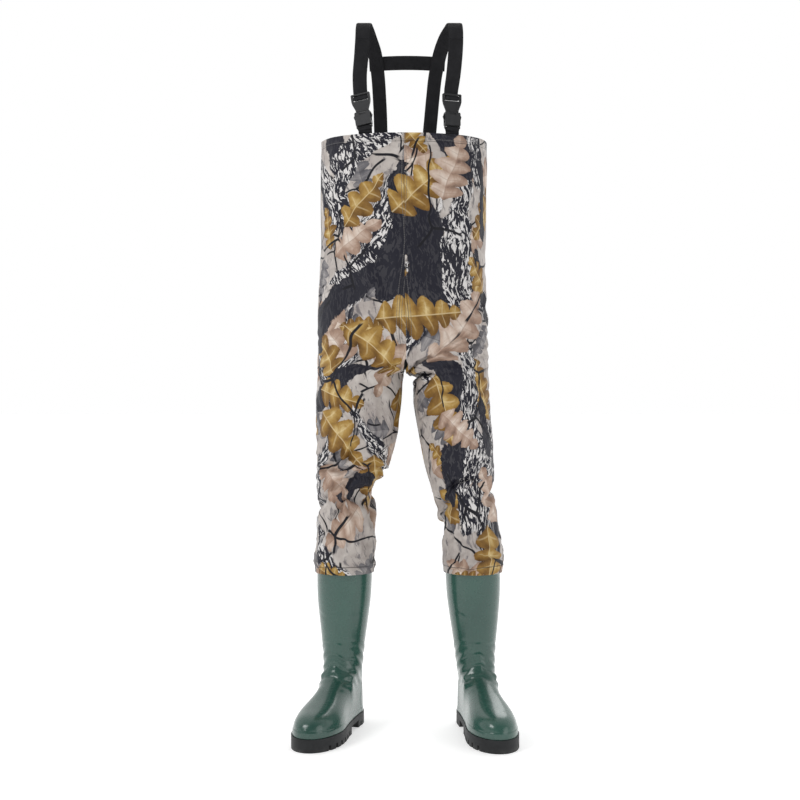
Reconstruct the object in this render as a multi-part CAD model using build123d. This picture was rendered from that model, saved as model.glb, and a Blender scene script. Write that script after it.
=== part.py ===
"""Chest waders as worn: a printed fabric bib and legs, moulded boots, and webbing shoulder straps.

Millimetres, +Z up. The wearer faces -Y, so the wearer's right is -X. The soles stand on Z = 0 and the
origin is the bottom centre of the whole object. The soft parts keep the shape they have on a wearer.
"""

from build123d import *
import math
import os

# ---- driving dimensions: garment ----
BODY_Y = 50.0  # plane through the middle of the torso
FABRIC = 2.0  # thickness given to the coated fabric
RIM_Z = 1217.0  # top of the bib
HEM_DEPTH = 18.0  # folded hem at the rim
CROTCH_Z = 740.0
LEG_END_Z = 322.0  # lower edge of the fabric, on the boot shaft
BOOT_TOP_Z = 352.0  # the shaft goes on up inside the fabric
HIP_TILT = 35.0  # slope of the fold at the groin, in degrees
HIP_ZONE = 165.0  # height of the fabric that creases when a hip bends
KNEE_LOW_Z, KNEE_HIGH_Z = 378.0, 562.0  # fabric that creases when a knee bends
SKIN_GAP = 0.25  # air between a lining or tape and what it lies on

# z, centre x, half width, half depth of the torso
TORSO = [
    (805, -3, 183, 124),
    (855, -3, 181, 126),
    (915, -3, 178, 122),
    (996, -1, 173, 116),
    (1095, -1, 174, 122),
    (1165, 0, 174, 121),
    (RIM_Z, 0, 173, 117),
]
# z, centre x, half width, centre y, half depth of each leg, from the crotch down to the boot
LEGS = {
    "right": [
        (322, -124.5, 61.5, 43, 70.5),
        (352, -124.5, 63.5, 43, 73.5),
        (402, -121, 66, 46, 76),
        (465, -117, 69, 49, 80),
        (515, -110.5, 78, 50, 84),
        (591, -101.5, 86, 50, 94),
        (675, -98, 91, 50, 104),
        (740, -95, 91, 50, 110),
    ],
    "left": [
        (322, 143.5, 61.5, 43, 70.5),
        (352, 143.5, 63.5, 43, 73.5),
        (402, 140, 65, 46, 76),
        (465, 128, 68, 49, 80),
        (515, 121, 75, 50, 84),
        (591, 109, 79, 50, 94),
        (675, 98, 87, 50, 104),
        (740, 91, 91, 50, 110),
    ],
}

# ---- driving dimensions: boots ----
BOOT_WALL = 3.0
LINING = 1.0
ANKLE_Y = 40.0
# ankle centre x, toe-out angle, sideways lean of the shaft
BOOTS = {"right": (-127.0, -17.0, 0.010), "left": (150.0, 10.0, -0.027)}
FOOT_LENGTH = 283.0
TOE_Y = -221.0  # toe tip from the ankle centre
FEATHER_Z = 26.0  # where the upper leaves the sole
SOLE_LIP = 2.5  # the sole stands out this far past the upper
SOLE_PLATE_Z = 10.0  # underside of the sole between the lugs
SHANK_Z = 15.0  # underside of the sole in the arch
HEEL_FRONT_Y = -8.0
TREAD_BACK_Y = -62.0
LUG_PITCH, LUG_GAP = 22.0, 6.0
HEEL_LUG_PITCH = 17.0
INSOLE = 3.5
# distance from the toe tip: half width of the footprint
FOOT_WIDTH = [(0, 36), (40, 43), (85, 47.5), (150, 39), (215, 34), (283, 33)]
# distance from the toe tip: height of the top of the foot
FOOT_HEIGHT = [(0, 40), (8, 53), (25, 64), (60, 73), (100, 84), (135, 98), (158, 114), (172, 140)]
# z, front y, back y, half width of the shaft, from the ankle centre
SHAFT = [
    (96, -60, 50, 38.5),
    (142, -49, 48, 40.5),
    (186, -51, 53, 45),
    (228, -55, 58, 50.5),
    (273, -59, 64, 55),
    (BOOT_TOP_Z, -62, 68, 58),
]
UPPER_LEVELS = (26, 38, 50, 60, 68, 76, 86, 98, 112)
FOOT_POINTS = 22
TOE_ROUND, HEEL_ROUND = 62.0, 48.0  # lengths over which the footprint closes at its ends
FOOT_CROWN = 2.6  # exponent of the section across the foot

# ---- driving dimensions: straps and buckles ----
WEBBING_WIDTH, WEBBING = 30.0, 1.8
SOCKET_WIDTH, SOCKET_DEPTH = 33.0, 11.0
BAR_BOTTOM, BAR_HEIGHT, BAR_DEPTH = -35.0, 3.6, 4.6  # the socket's webbing bar
PLUG_WIDTH, PLUG_DEPTH = 40.0, 5.0
NECK_WIDTH, NECK_Z = 27.0, 1.5
BODY_TOP_Z, LADDER_TOP_Z = 23.5, 38.5
LADDER_BAR, SLOT_WIDTH = 3.2, 31.5
TONGUE_WIDTH, TONGUE_LENGTH, TONGUE_DEPTH = 9.0, 22.0, 4.4
PRONG_DEPTH, PRONG_BULGE = 4.4, 19.5
PRONG_TOP = NECK_Z - 0.4  # height of the prong's flexing root
# x, y, z of the socket's mouth, then its sideways tilt, backward lean and turn to the side in degrees
BUCKLES = {
    "right": (-84.0, -49.5, 1262.0, -9.0, 3.0, -16.0),
    "left": (97.0, -42.5, 1262.0, 0.5, 3.0, 18.0),
}
# strap centre line above the buckle: x, y, z and the turn of its width about Z in degrees
FRONT_STRAPS = {
    "right": [(-90, -40, 1340, -12), (-87, -33, 1380, -6), (-85, -22, 1417, 0)],
    "left": [(100, -35, 1340, 12), (104, -29, 1380, 6), (106, -20, 1417, 0)],
}
# strap centre line over the shoulder to the inside of the back, carried on from the front strap
BACK_STRAPS = {
    "right": [
        (-84.5, -5, 1445, 0), (-83, 25, 1463, 0), (-79, 60, 1463, 2), (-72, 92, 1449, 6),
        (-62, 118, 1422, 10), (-56, 135, 1381, 14), (-53, 145, 1337, 14), (-51, 151.5, 1294, 13),
        (-49.5, 156.2, 1230, 12), (-49.2, 157.3, 1210, 12), (-49, 159.2, 1175, 12),
    ],
    "left": [
        (106, -4, 1445, 0), (104.5, 25, 1463, 0), (99, 60, 1463, -2), (88, 92, 1449, -6),
        (77, 118, 1422, -10), (68, 135, 1381, -14), (63, 145, 1337, -14), (59, 150.5, 1294, -13),
        (53, 155.8, 1230, -12), (51, 157.0, 1210, -12), (49, 159.2, 1175, -12),
    ],
}
BRIDGE_Z, BRIDGE_ARCH = 1407.0, 4.0
PATCH_SIZE, PATCH = (46.0, 44.0), 1.2  # reinforcement patch under the sewn end of a strap
TAB_END_Z = 1175.0  # lower end of the sewn webbing inside the bib

SIDES = {"right": -1, "left": 1}
STRAP_STEPS = 4
BIG = 2000.0
GARMENT_LEVELS = (352, 402, 435, 465, 495, 525, 560, 591, 625, 675, 715, 740, 753, 767, 783, 805,
                  855, 885, 915, 955, 996, 1045, 1070, 1095, 1130, 1165)


def write(node, shape):
    """One STEP file holds the solids of one node."""
    solids = shape.solids()
    export_step(solids[0] if len(solids) == 1 else Compound(children=list(solids)), f"parts/{node}.step")


def ramp(table, at):
    """A smooth value read between the rows of a table of (place, value)."""
    places = [row[0] for row in table]
    values = [row[1] for row in table]
    if at <= places[0]:
        return values[0]
    if at >= places[-1]:
        return values[-1]
    i = max(k for k in range(len(places) - 1) if places[k] <= at)
    slopes = []
    for k in (i, i + 1):
        low, high = max(k - 1, 0), min(k + 1, len(places) - 1)
        slopes.append((values[high] - values[low]) / (places[high] - places[low]))
    span = places[i + 1] - places[i]
    t = (at - places[i]) / span
    return (
        (2 * t**3 - 3 * t**2 + 1) * values[i]
        + (t**3 - 2 * t**2 + t) * span * slopes[0]
        + (3 * t**2 - 2 * t**3) * values[i + 1]
        + (t**3 - t**2) * span * slopes[1]
    )


# ---- garment ----
def section(side, z, inset):
    """The garment's outline at height z on one side: a leg below the crotch, the whole torso above it."""
    rows = LEGS[side] + [(row_z, x, a, BODY_Y, b) for row_z, x, a, b in TORSO]
    x, a, y, b = (ramp([(row[0], row[k]) for row in rows], z) for k in (1, 2, 3, 4))
    return Pos(x, y, z) * Ellipse(a - inset, b - inset)


def tube(side, low, high, inset):
    """The solid filling the garment between two heights, taken in by inset all round."""
    between = [z for z in GARMENT_LEVELS if low + 1 < z < high - 1]
    return loft([section(side, z, inset) for z in [low, *between, high]], ruled=True)


def half_space(side):
    """Everything on one side of the centre seam."""
    return Pos(SIDES[side] * BIG / 2, 0, BIG / 2) * Box(BIG, BIG, 2 * BIG)


def below_fold(side, drop):
    """Everything below the groin fold lowered by drop. The fold rises from the crotch to the hip."""
    tilt = Rot(0, SIDES[side] * -HIP_TILT, 0)
    return Pos(0, 0, CROTCH_Z - drop) * tilt * Pos(0, 0, -BIG / 2) * Box(BIG, BIG, BIG)


def fabric(side, low, high, over=None, under=None):
    """A length of the garment's shell on one side, above the fold `over` and below the fold `under`."""
    shape = tube(side, low, high, 0) & half_space(side)
    if under is not None:
        shape = shape & below_fold(side, under)
    if over is not None:
        shape = shape - below_fold(side, over)
    return shape - tube(side, low - 3, high + 3, FABRIC)


def fabric_pieces(side):
    """The bib panel, hip, thigh, knee and shin fabric of one side."""
    reach = 188 * math.tan(math.radians(HIP_TILT))
    return {
        f"{side}_bib_panel": fabric(side, CROTCH_Z, RIM_Z - HEM_DEPTH, over=0),
        f"{side}_hip_fabric": fabric(side, CROTCH_Z - HIP_ZONE, CROTCH_Z + reach, HIP_ZONE, 0),
        f"{side}_thigh_fabric": fabric(side, KNEE_HIGH_Z, CROTCH_Z - HIP_ZONE + reach, None, HIP_ZONE),
        f"{side}_knee_fabric": fabric(side, KNEE_LOW_Z, KNEE_HIGH_Z),
        f"{side}_shin_fabric": fabric(side, LEG_END_Z, KNEE_LOW_Z),
    }


def top_hem():
    """The fabric folded over twice round the rim, with the elastic inside it."""
    low = RIM_Z - HEM_DEPTH
    return tube("right", low, RIM_Z, -0.6) - tube("right", low - 1, RIM_Z + 1, FABRIC + 0.6)


def inside_layer(side, low, high, thickness):
    """A thin layer lying on the inside of the fabric."""
    inner = FABRIC + SKIN_GAP
    return tube(side, low, high, inner) - tube(side, low - 3, high + 3, inner + thickness)


def seam_tape(facing):
    """A sealing tape inside the centre seam; facing is -1 for the front and 1 for the back."""
    low, high = TORSO[1][0], RIM_Z - HEM_DEPTH - 4
    window = Pos(0, BODY_Y + facing * BIG / 2, (low + high) / 2) * Box(18, BIG, high - low)
    return inside_layer("right", low, high, 0.9) & window


# ---- boots ----
def foot_half_width(u, z, inset):
    """Half the width of the foot at u from the toe tip and at height z."""
    width = ramp(FOOT_WIDTH, u) - inset
    if u < TOE_ROUND:
        width *= max(0.0, 1 - ((TOE_ROUND - u) / TOE_ROUND) ** 2.3) ** (1 / 2.3)
    if u > FOOT_LENGTH - HEEL_ROUND:
        width *= max(0.0, 1 - ((u - FOOT_LENGTH + HEEL_ROUND) / HEEL_ROUND) ** 2.2) ** (1 / 2.2)
    roof = ramp(FOOT_HEIGHT, u) - inset if u < FOOT_HEIGHT[-1][0] else BIG
    rise = max(0.0, (z - FEATHER_Z) / max(roof - FEATHER_Z, 1e-6))
    return width * max(0.0, 1 - min(rise, 1.0) ** FOOT_CROWN) ** (1 / FOOT_CROWN)


def toe_reach(z, inset):
    """How far behind the toe tip the front of the foot is at height z."""
    low, high = 0.0, FOOT_HEIGHT[-1][0]
    for _ in range(40):
        mid = (low + high) / 2
        if ramp(FOOT_HEIGHT, mid) - inset > z:
            high = mid
        else:
            low = mid
    return high


def shaft_section(z, inset):
    """Front, back and half width of the shaft at height z."""
    front = ramp([(row[0], row[1]) for row in SHAFT], z) + inset
    back = ramp([(row[0], row[2]) for row in SHAFT], z) - inset
    return front, back, ramp([(row[0], row[3]) for row in SHAFT], z) - inset


def boot_outline(z, inset, swell=0.0, lean=0.0):
    """The boot's outline at height z in the foot's own frame, toes towards -Y."""
    reach = toe_reach(z, inset) if z > FOOT_HEIGHT[0][1] else 0.0
    heel_lean = 0.10 * max(0.0, z - 55)
    foot_front = TOE_Y + reach + inset
    foot_back = TOE_Y + FOOT_LENGTH - inset - heel_lean
    shaft_front, shaft_back, shaft_half = shaft_section(z, inset)
    mix = min(max((z - 92) / 40, 0.0), 1.0)
    mix = mix * mix * (3 - 2 * mix)
    front = foot_front + (shaft_front - foot_front) * mix - swell
    back = foot_back + (shaft_back - foot_back) * mix + swell
    points = []
    for k in range(FOOT_POINTS):
        turn = 2 * math.pi * (k + 0.5) / FOOT_POINTS
        y = front + (back - front) * (1 - math.cos(turn)) / 2
        share = (y - front) / (back - front)
        u = inset + reach + share * (FOOT_LENGTH - 2 * inset - reach)
        foot_half = foot_half_width(u, z, inset)
        half = foot_half + (shaft_half * abs(math.sin(turn)) - foot_half) * mix + swell
        points.append((math.copysign(half, math.sin(turn)) + lean * max(0.0, z - 90), y))
    return points


def outline_face(points, z):
    return Pos(0, 0, z) * make_face(Spline(*points, periodic=True))


def boot_solid(side, inset, bottom, top):
    """The closed solid of a boot's upper, taken in by inset, standing in its place."""
    x, turn, lean = BOOTS[side]
    shaft_levels = [row[0] for row in SHAFT if row[0] > UPPER_LEVELS[-1] + 5 and row[0] < top]
    levels = [z for z in UPPER_LEVELS if z > bottom] + shaft_levels
    faces = [outline_face(boot_outline(z, inset, 0.0, lean), z) for z in [bottom, *levels, top]]
    return place_boot(side, loft(faces, ruled=True))


def place_boot(side, shape):
    x, turn, _ = BOOTS[side]
    return Pos(x, ANKLE_Y, 0) * Rot(0, 0, turn) * shape


def boot_upper(side):
    outer = boot_solid(side, 0, FEATHER_Z, BOOT_TOP_Z)
    return outer - boot_solid(side, BOOT_WALL, FEATHER_Z + BOOT_WALL, BOOT_TOP_Z + 1)


def boot_lining(side):
    """The textile sock inside the moulded upper."""
    outer_inset = BOOT_WALL + SKIN_GAP
    floor = FEATHER_Z + outer_inset
    outer = boot_solid(side, outer_inset, floor, BOOT_TOP_Z - 2)
    return outer - boot_solid(side, outer_inset + LINING, floor + LINING, BOOT_TOP_Z + 1)


def boot_insole():
    inset = BOOT_WALL + LINING + 3.5
    low = FEATHER_Z + BOOT_WALL + LINING + 2 * SKIN_GAP
    return extrude(outline_face(boot_outline(FEATHER_Z + 2, inset), low), INSOLE)


def boot_sole():
    """The outsole: a plate with a raised arch, crosswise tread bars and a heel block with bars."""
    footprint = boot_outline(FEATHER_Z, 0, SOLE_LIP)
    plate = extrude(outline_face(footprint, SOLE_PLATE_Z), FEATHER_Z - SOLE_PLATE_Z)
    shank_length = HEEL_FRONT_Y - TREAD_BACK_Y
    arch = Pos(0, (HEEL_FRONT_Y + TREAD_BACK_Y) / 2, 0) * Box(BIG, shank_length, 2 * SHANK_Z)
    blocks = extrude(outline_face(footprint, 0), SOLE_PLATE_Z)
    sole = plate - arch
    groove = SOLE_PLATE_Z
    gaps = []
    y = TREAD_BACK_Y - LUG_PITCH + LUG_GAP / 2
    while y > TOE_Y + 24:
        gaps.append(Pos(0, y, 0) * Box(BIG, LUG_GAP, 2 * groove))
        y -= LUG_PITCH
    y = HEEL_FRONT_Y + HEEL_LUG_PITCH
    while y < TOE_Y + FOOT_LENGTH - 10:
        gaps.append(Pos(0, y, 0) * Box(BIG, LUG_GAP * 0.6, 2 * groove))
        y += HEEL_LUG_PITCH
    lugs = blocks - arch
    for gap in gaps:
        lugs -= gap
    channel_length = TREAD_BACK_Y - TOE_Y - 34
    channel = Pos(0, TREAD_BACK_Y - channel_length / 2, 0) * Box(5, channel_length, 2 * groove)
    return sole + (lugs - channel)


def joint_band(side):
    """The adhesive band that fills the space between the boot shaft and the end of the leg fabric."""
    low, high = LEG_END_Z + 3, BOOT_TOP_Z - 3
    ring = tube(side, low, high, FABRIC + 0.4)
    return ring - boot_solid(side, -0.1, 120, BOOT_TOP_Z)


# ---- straps and buckles ----
def ribbon(rows, width=WEBBING_WIDTH, thickness=WEBBING, first=0, last=None):
    """A flat webbing along rows of (x, y, z, turn of its width about Z), from row first to row last."""
    last = len(rows) - 1 if last is None else last
    places = [float(k) for k in range(len(rows))]
    steps = STRAP_STEPS * (len(rows) - 1)
    path = []
    for k in range(steps + 1):
        at = places[-1] * k / steps
        path.append([ramp([(p, row[c]) for p, row in zip(places, rows)], at) for c in range(4)])
    sections = []
    for k in range(first * STRAP_STEPS, last * STRAP_STEPS + 1):
        before, after = Vector(*path[max(k - 1, 0)][:3]), Vector(*path[min(k + 1, steps)][:3])
        along = (after - before).normalized()
        turn = math.radians(path[k][3])
        across = Vector(math.cos(turn), math.sin(turn), 0)
        across = (across - along * across.dot(along)).normalized()
        sections.append(Plane(origin=path[k][:3], x_dir=across, z_dir=along) * Rectangle(width, thickness))
    return loft(sections, ruled=True)


def strap_foot(side):
    """The first points of the front strap, behind the buckle's ladder and parallel to its travel."""
    turn = BUCKLES[side][5]
    y = PLUG_DEPTH / 2 + WEBBING / 2 + 0.3
    feet = []
    for z in (LADDER_TOP_Z - LADDER_BAR - 1, LADDER_TOP_Z + 8):
        place = (buckle_frame(side) * Pos(0, y, z)).position
        feet.append((place.X, place.Y, place.Z, turn))
    return feet


def strap_lengths(side):
    """The front length, which gives when the buckle opens, and the length over the shoulder."""
    rows = strap_foot(side) + FRONT_STRAPS[side]
    join = len(rows) - 1
    rows += BACK_STRAPS[side]
    return ribbon(rows, last=join), ribbon(rows, first=join)


def back_bridge():
    """The cross strap between the shoulder straps, lying on their outer faces."""
    ends = {side: BACK_STRAPS[side][4:6] for side in SIDES}
    edge = {}
    for side, (upper, lower) in ends.items():
        share = (BRIDGE_Z - upper[2]) / (lower[2] - upper[2])
        edge[side] = [upper[c] + share * (lower[c] - upper[c]) for c in range(2)]
    rows = []
    for k in range(9):
        share = k / 8
        x = edge["right"][0] - 15 + share * (edge["left"][0] - edge["right"][0] + 30)
        y = edge["right"][1] + share * (edge["left"][1] - edge["right"][1])
        bulge = math.sin(math.pi * share)
        rows.append((x, y + 6.4 + 2.5 * bulge, BRIDGE_Z + BRIDGE_ARCH * (bulge - 0.5)))
    lean = Vector(0, -0.36, 1)
    sections = []
    for k, row in enumerate(rows):
        along = (Vector(*rows[min(k + 1, 8)]) - Vector(*rows[max(k - 1, 0)])).normalized()
        across = (lean - along * lean.dot(along)).normalized()
        face = Plane(origin=row, x_dir=across, z_dir=along) * Rectangle(WEBBING_WIDTH, WEBBING)
        sections.append(face)
    return loft(sections, ruled=True)


def strap_patch(side):
    """The welded reinforcement on the inside of the back, under the sewn end of the strap."""
    x, _, z, _ = BACK_STRAPS[side][-1]
    low = z - 6
    window = Pos(x, BODY_Y + BIG / 2, low + PATCH_SIZE[1] / 2 - 22) * Box(PATCH_SIZE[0], BIG, PATCH_SIZE[1])
    return inside_layer(side, low - 24, low + 24, PATCH) & window


def front_tab(side):
    """The webbing that holds the socket: a turn round its bar, then doubled, down inside the bib."""
    x, _, _, _, _, turn = BUCKLES[side]
    bar_z = BAR_BOTTOM + BAR_HEIGHT / 2
    reach_y, reach_z = BAR_DEPTH / 2 + 0.15, BAR_HEIGHT / 2 + 0.15
    outer = Box(WEBBING_WIDTH - 2, 2 * (reach_y + WEBBING), 2 * (reach_z + WEBBING))
    loop = fillet(outer.edges().filter_by(Axis.X), 1.4) - Box(BIG, 2 * reach_y, 2 * reach_z)
    loop = buckle_frame(side) * Pos(0, 0, bar_z) * loop
    rows = []
    for z in (BAR_BOTTOM - WEBBING - 0.2, BAR_BOTTOM - WEBBING - 3):
        place = (buckle_frame(side) * Pos(0, 0, z)).position
        rows.append((place.X, place.Y, place.Z, turn))
    foot_x = rows[-1][0]
    for z, depth in ((RIM_Z - 1, 7.0), (RIM_Z - HEM_DEPTH, 7.0), (TAB_END_Z, 6.6)):
        row_a, row_b = (ramp([(r[0], r[c]) for r in TORSO], z) for c in (2, 3))
        y = BODY_Y - (row_b - depth) * math.sqrt(1 - (foot_x / (row_a - depth)) ** 2)
        rows.append((foot_x, y, z, turn * 1.12))
    return Compound(children=[loop.solid(), ribbon(rows, WEBBING_WIDTH - 2, 2 * WEBBING).solid()])


def buckle_frame(side):
    x, y, z, tilt, lean, turn = BUCKLES[side]
    return Pos(x, y, z) * Rot(0, 0, turn) * Rot(0, tilt, 0) * Rot(-lean, 0, 0)


def plate(outline, depth):
    """A plate of the given outline in the XZ plane, centred on Y = 0."""
    points = [(x, 0, z) for x, z in outline]
    return extrude(make_face(Polyline(*points, close=True)), depth / 2, dir=(0, 1, 0), both=True)


def buckle_socket():
    """The female half: a flat tube with side windows for the prongs and a webbing bar at its foot."""
    half, low = SOCKET_WIDTH / 2, BAR_BOTTOM
    tube_end = low + BAR_HEIGHT + 4.4
    body = plate(
        [(-half + 1, 0), (half - 1, 0), (half, -3), (half, tube_end + 1), (half - 1, tube_end),
         (1 - half, tube_end), (-half, tube_end + 1), (-half, -3)],
        SOCKET_DEPTH,
    )
    foot = plate(
        [(-half, tube_end + 3), (half, tube_end + 3), (half, low + 3), (half - 3, low),
         (3 - half, low), (-half, low + 3)],
        BAR_DEPTH,
    )
    web_slot = Pos(0, 0, low + BAR_HEIGHT + 2) * Box(WEBBING_WIDTH - 1, SOCKET_DEPTH + 1, 4.0)
    cavity = Pos(0, 0, -12) * Box(SOCKET_WIDTH - 6.2, PLUG_DEPTH + 0.6, 25)
    windows = Pos(0, 0, -12) * Box(SOCKET_WIDTH + 4, PLUG_DEPTH + 0.6, 18.4)
    body = body + foot - cavity - windows - web_slot
    for face in (-1, 1):
        scoop = Pos(0, face * (SOCKET_DEPTH / 2 + 8.2), 0) * Rot(0, 90, 0) * Cylinder(10, 14)
        body = body - scoop
    return body


def buckle_plug():
    """The male half: a ladder with two bars for the webbing, a tapered body and a centre tongue."""
    half, neck = PLUG_WIDTH / 2, NECK_WIDTH / 2
    body = plate(
        [(-neck, NECK_Z), (neck, NECK_Z), (neck, NECK_Z + 3), (half - 1.5, 17), (half, BODY_TOP_Z),
         (half, LADDER_TOP_Z - 1.5), (half - 1.5, LADDER_TOP_Z), (1.5 - half, LADDER_TOP_Z),
         (-half, LADDER_TOP_Z - 1.5), (-half, BODY_TOP_Z), (1.5 - half, 17), (-neck, NECK_Z + 3)],
        PLUG_DEPTH,
    )
    slot_height = (LADDER_TOP_Z - BODY_TOP_Z - 2 * LADDER_BAR) / 2
    for k in range(2):
        z = BODY_TOP_Z + slot_height / 2 + k * (slot_height + LADDER_BAR)
        body = body - Pos(0, 0, z) * Box(SLOT_WIDTH, PLUG_DEPTH + 1, slot_height)
    tongue = plate(
        [(-TONGUE_WIDTH / 2, NECK_Z), (TONGUE_WIDTH / 2, NECK_Z), (TONGUE_WIDTH / 2 - 1, 3 - TONGUE_LENGTH),
         (TONGUE_WIDTH / 2 - 2.5, -TONGUE_LENGTH), (2.5 - TONGUE_WIDTH / 2, -TONGUE_LENGTH),
         (1 - TONGUE_WIDTH / 2, 3 - TONGUE_LENGTH)],
        TONGUE_DEPTH,
    )
    return body + tongue


def buckle_prong(hand):
    """One sprung side arm. Its rounded shoulder stands out of the socket's window to be squeezed."""
    outline = [
        (7.5, PRONG_TOP), (11.5, PRONG_TOP), (12.4, -1), (12.8, -3.6), (16.6, -4.4), (PRONG_BULGE - 0.8, -6.5),
        (PRONG_BULGE, -9), (PRONG_BULGE - 1.2, -13), (16.5, -17), (13.2, -19.8), (11.2, -19.8),
        (10.4, -15), (9.0, -8),
    ]
    return plate([(hand * x, z) for x, z in outline], PRONG_DEPTH)


def strap_loop():
    """The short turn of webbing round the lower ladder bar that holds the strap in the plug."""
    bar_z = BODY_TOP_Z + (LADDER_TOP_Z - BODY_TOP_Z - 2 * LADDER_BAR) / 2 + LADDER_BAR / 2
    reach_y, reach_z = PLUG_DEPTH / 2 + 0.15, LADDER_BAR / 2 + 0.15
    outer = Box(WEBBING_WIDTH, 2 * (reach_y + WEBBING), 2 * (reach_z + WEBBING))
    inner = Box(WEBBING_WIDTH + 1, 2 * reach_y, 2 * reach_z)
    loop = fillet(outer.edges().filter_by(Axis.X), 1.4) - inner
    return Pos(0, 0, bar_z) * loop


def main():
    os.makedirs("parts", exist_ok=True)
    for side in SIDES:
        pieces = fabric_pieces(side)
        pieces[f"{side}_boot_joint_band"] = joint_band(side)
        pieces[f"{side}_boot_upper"] = boot_upper(side)
        pieces[f"{side}_boot_lining"] = boot_lining(side)
        pieces[f"{side}_boot_insole"] = place_boot(side, boot_insole())
        pieces[f"{side}_boot_sole"] = place_boot(side, boot_sole())
        front, shoulder = strap_lengths(side)
        pieces[f"{side}_front_strap"] = front
        pieces[f"{side}_shoulder_strap"] = shoulder
        pieces[f"{side}_strap_patch"] = strap_patch(side)
        pieces[f"{side}_front_tab"] = front_tab(side)
        frame = buckle_frame(side)
        pieces[f"{side}_buckle_socket"] = frame * buckle_socket()
        pieces[f"{side}_buckle_plug"] = frame * buckle_plug()
        pieces[f"{side}_strap_loop"] = frame * strap_loop()
        for name, hand in (("inner", -SIDES[side]), ("outer", SIDES[side])):
            pieces[f"{side}_{name}_prong"] = frame * buckle_prong(hand)
        for node, shape in pieces.items():
            write(node, shape)
    write("top_hem", top_hem())
    write("front_seam_tape", seam_tape(-1))
    write("back_seam_tape", seam_tape(1))
    write("back_bridge_strap", back_bridge())


main()
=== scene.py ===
"""Looks of a pair of chest waders: simulated printed fabric, moulded boots, webbing straps and buckles.

Everything is in metres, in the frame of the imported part: +Z up, the wearer faces -Y, their right is -X.
"""

import math

import bpy
import numpy as np
from bpy.props import FloatProperty, FloatVectorProperty, IntProperty, PointerProperty
from mathutils import Matrix, Vector, noise
from mathutils.bvhtree import BVHTree


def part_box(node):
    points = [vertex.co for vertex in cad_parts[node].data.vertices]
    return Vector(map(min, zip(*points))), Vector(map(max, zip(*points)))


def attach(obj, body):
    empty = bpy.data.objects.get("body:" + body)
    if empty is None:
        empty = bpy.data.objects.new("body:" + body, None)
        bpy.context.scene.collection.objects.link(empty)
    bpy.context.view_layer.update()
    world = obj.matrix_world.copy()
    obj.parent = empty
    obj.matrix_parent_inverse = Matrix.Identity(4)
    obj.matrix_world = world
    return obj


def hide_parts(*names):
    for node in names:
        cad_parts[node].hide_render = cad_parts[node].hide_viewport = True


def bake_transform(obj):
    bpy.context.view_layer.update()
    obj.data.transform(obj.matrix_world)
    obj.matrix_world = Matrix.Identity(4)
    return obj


bl_info = {
    "name": "Chest waders",
    "version": (1, 0, 0),
    "blender": (4, 5, 0),
    "location": "3D View > Sidebar > Waders",
    "description": "Builds printed chest waders with boots and shoulder straps round a packed frame",
    "category": "Add Mesh",
}

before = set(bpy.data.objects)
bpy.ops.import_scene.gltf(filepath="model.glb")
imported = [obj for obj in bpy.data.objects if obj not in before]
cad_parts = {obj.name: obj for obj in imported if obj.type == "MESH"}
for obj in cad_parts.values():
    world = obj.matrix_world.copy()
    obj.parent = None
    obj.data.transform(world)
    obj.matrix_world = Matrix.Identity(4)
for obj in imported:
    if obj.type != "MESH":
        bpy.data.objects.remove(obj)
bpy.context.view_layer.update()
SIDES = {"right": -1, "left": 1}
LEG_NODES = ("shin_fabric", "knee_fabric", "thigh_fabric", "hip_fabric")
RIM_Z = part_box("top_hem")[1].z
LEG_END_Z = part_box("right_shin_fabric")[0].z
KNEE_LOW_Z, KNEE_HIGH_Z = (corner.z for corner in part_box("right_knee_fabric"))
CROTCH_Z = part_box("left_bib_panel")[0].z
BODY_Y = (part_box("top_hem")[0].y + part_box("top_hem")[1].y) / 2
HIP_TILT = math.radians(35)  # slope of the fold at the groin
SEAT_Z = CROTCH_Z + 0.08  # where the trunk has closed over both legs
PATTERN_CENTRE = 0.2375  # half of a front panel's flat width
BODY_COLUMNS = 40  # divisions round each side of the form that the cloth rests on
MADE = {}


# ---- small tools ----
def smooth(low, high, at):
    """0 below low, 1 above high, and a smooth rise between them."""
    t = min(max((at - low) / (high - low), 0.0), 1.0)
    return t * t * (3 - 2 * t)


def mixed(a, b, share):
    return a + (b - a) * share


def ramp(table, at):
    """A smooth value read between the rows of a table of (place, value)."""
    if at <= table[0][0]:
        return table[0][1]
    if at >= table[-1][0]:
        return table[-1][1]
    i = max(k for k in range(len(table) - 1) if table[k][0] <= at)
    slopes = []
    for k in (i, i + 1):
        low, high = max(k - 1, 0), min(k + 1, len(table) - 1)
        slopes.append((table[high][1] - table[low][1]) / (table[high][0] - table[low][0]))
    span = table[i + 1][0] - table[i][0]
    t = (at - table[i][0]) / span
    return (
        (2 * t**3 - 3 * t**2 + 1) * table[i][1]
        + (t**3 - 2 * t**2 + t) * span * slopes[0]
        + (3 * t**2 - 2 * t**3) * table[i + 1][1]
        + (t**3 - t**2) * span * slopes[1]
    )


def new_object(name, verts, faces, uvs=None, materials=(), smooth_faces=True):
    """A mesh object; uvs holds one (u, v) for each corner, in face order."""
    mesh = bpy.data.meshes.new(name)
    mesh.from_pydata([tuple(v) for v in verts], [], [tuple(f) for f in faces])
    if uvs is not None:
        layer = mesh.uv_layers.new(name="pattern")
        layer.data.foreach_set("uv", np.asarray(uvs, dtype=np.float32).ravel())
    for material in materials:
        mesh.materials.append(material)
    if smooth_faces:
        mesh.polygons.foreach_set("use_smooth", [True] * len(mesh.polygons))
    mesh.update()
    piece = bpy.data.objects.new(name, mesh)
    bpy.context.scene.collection.objects.link(piece)
    return piece


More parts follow.
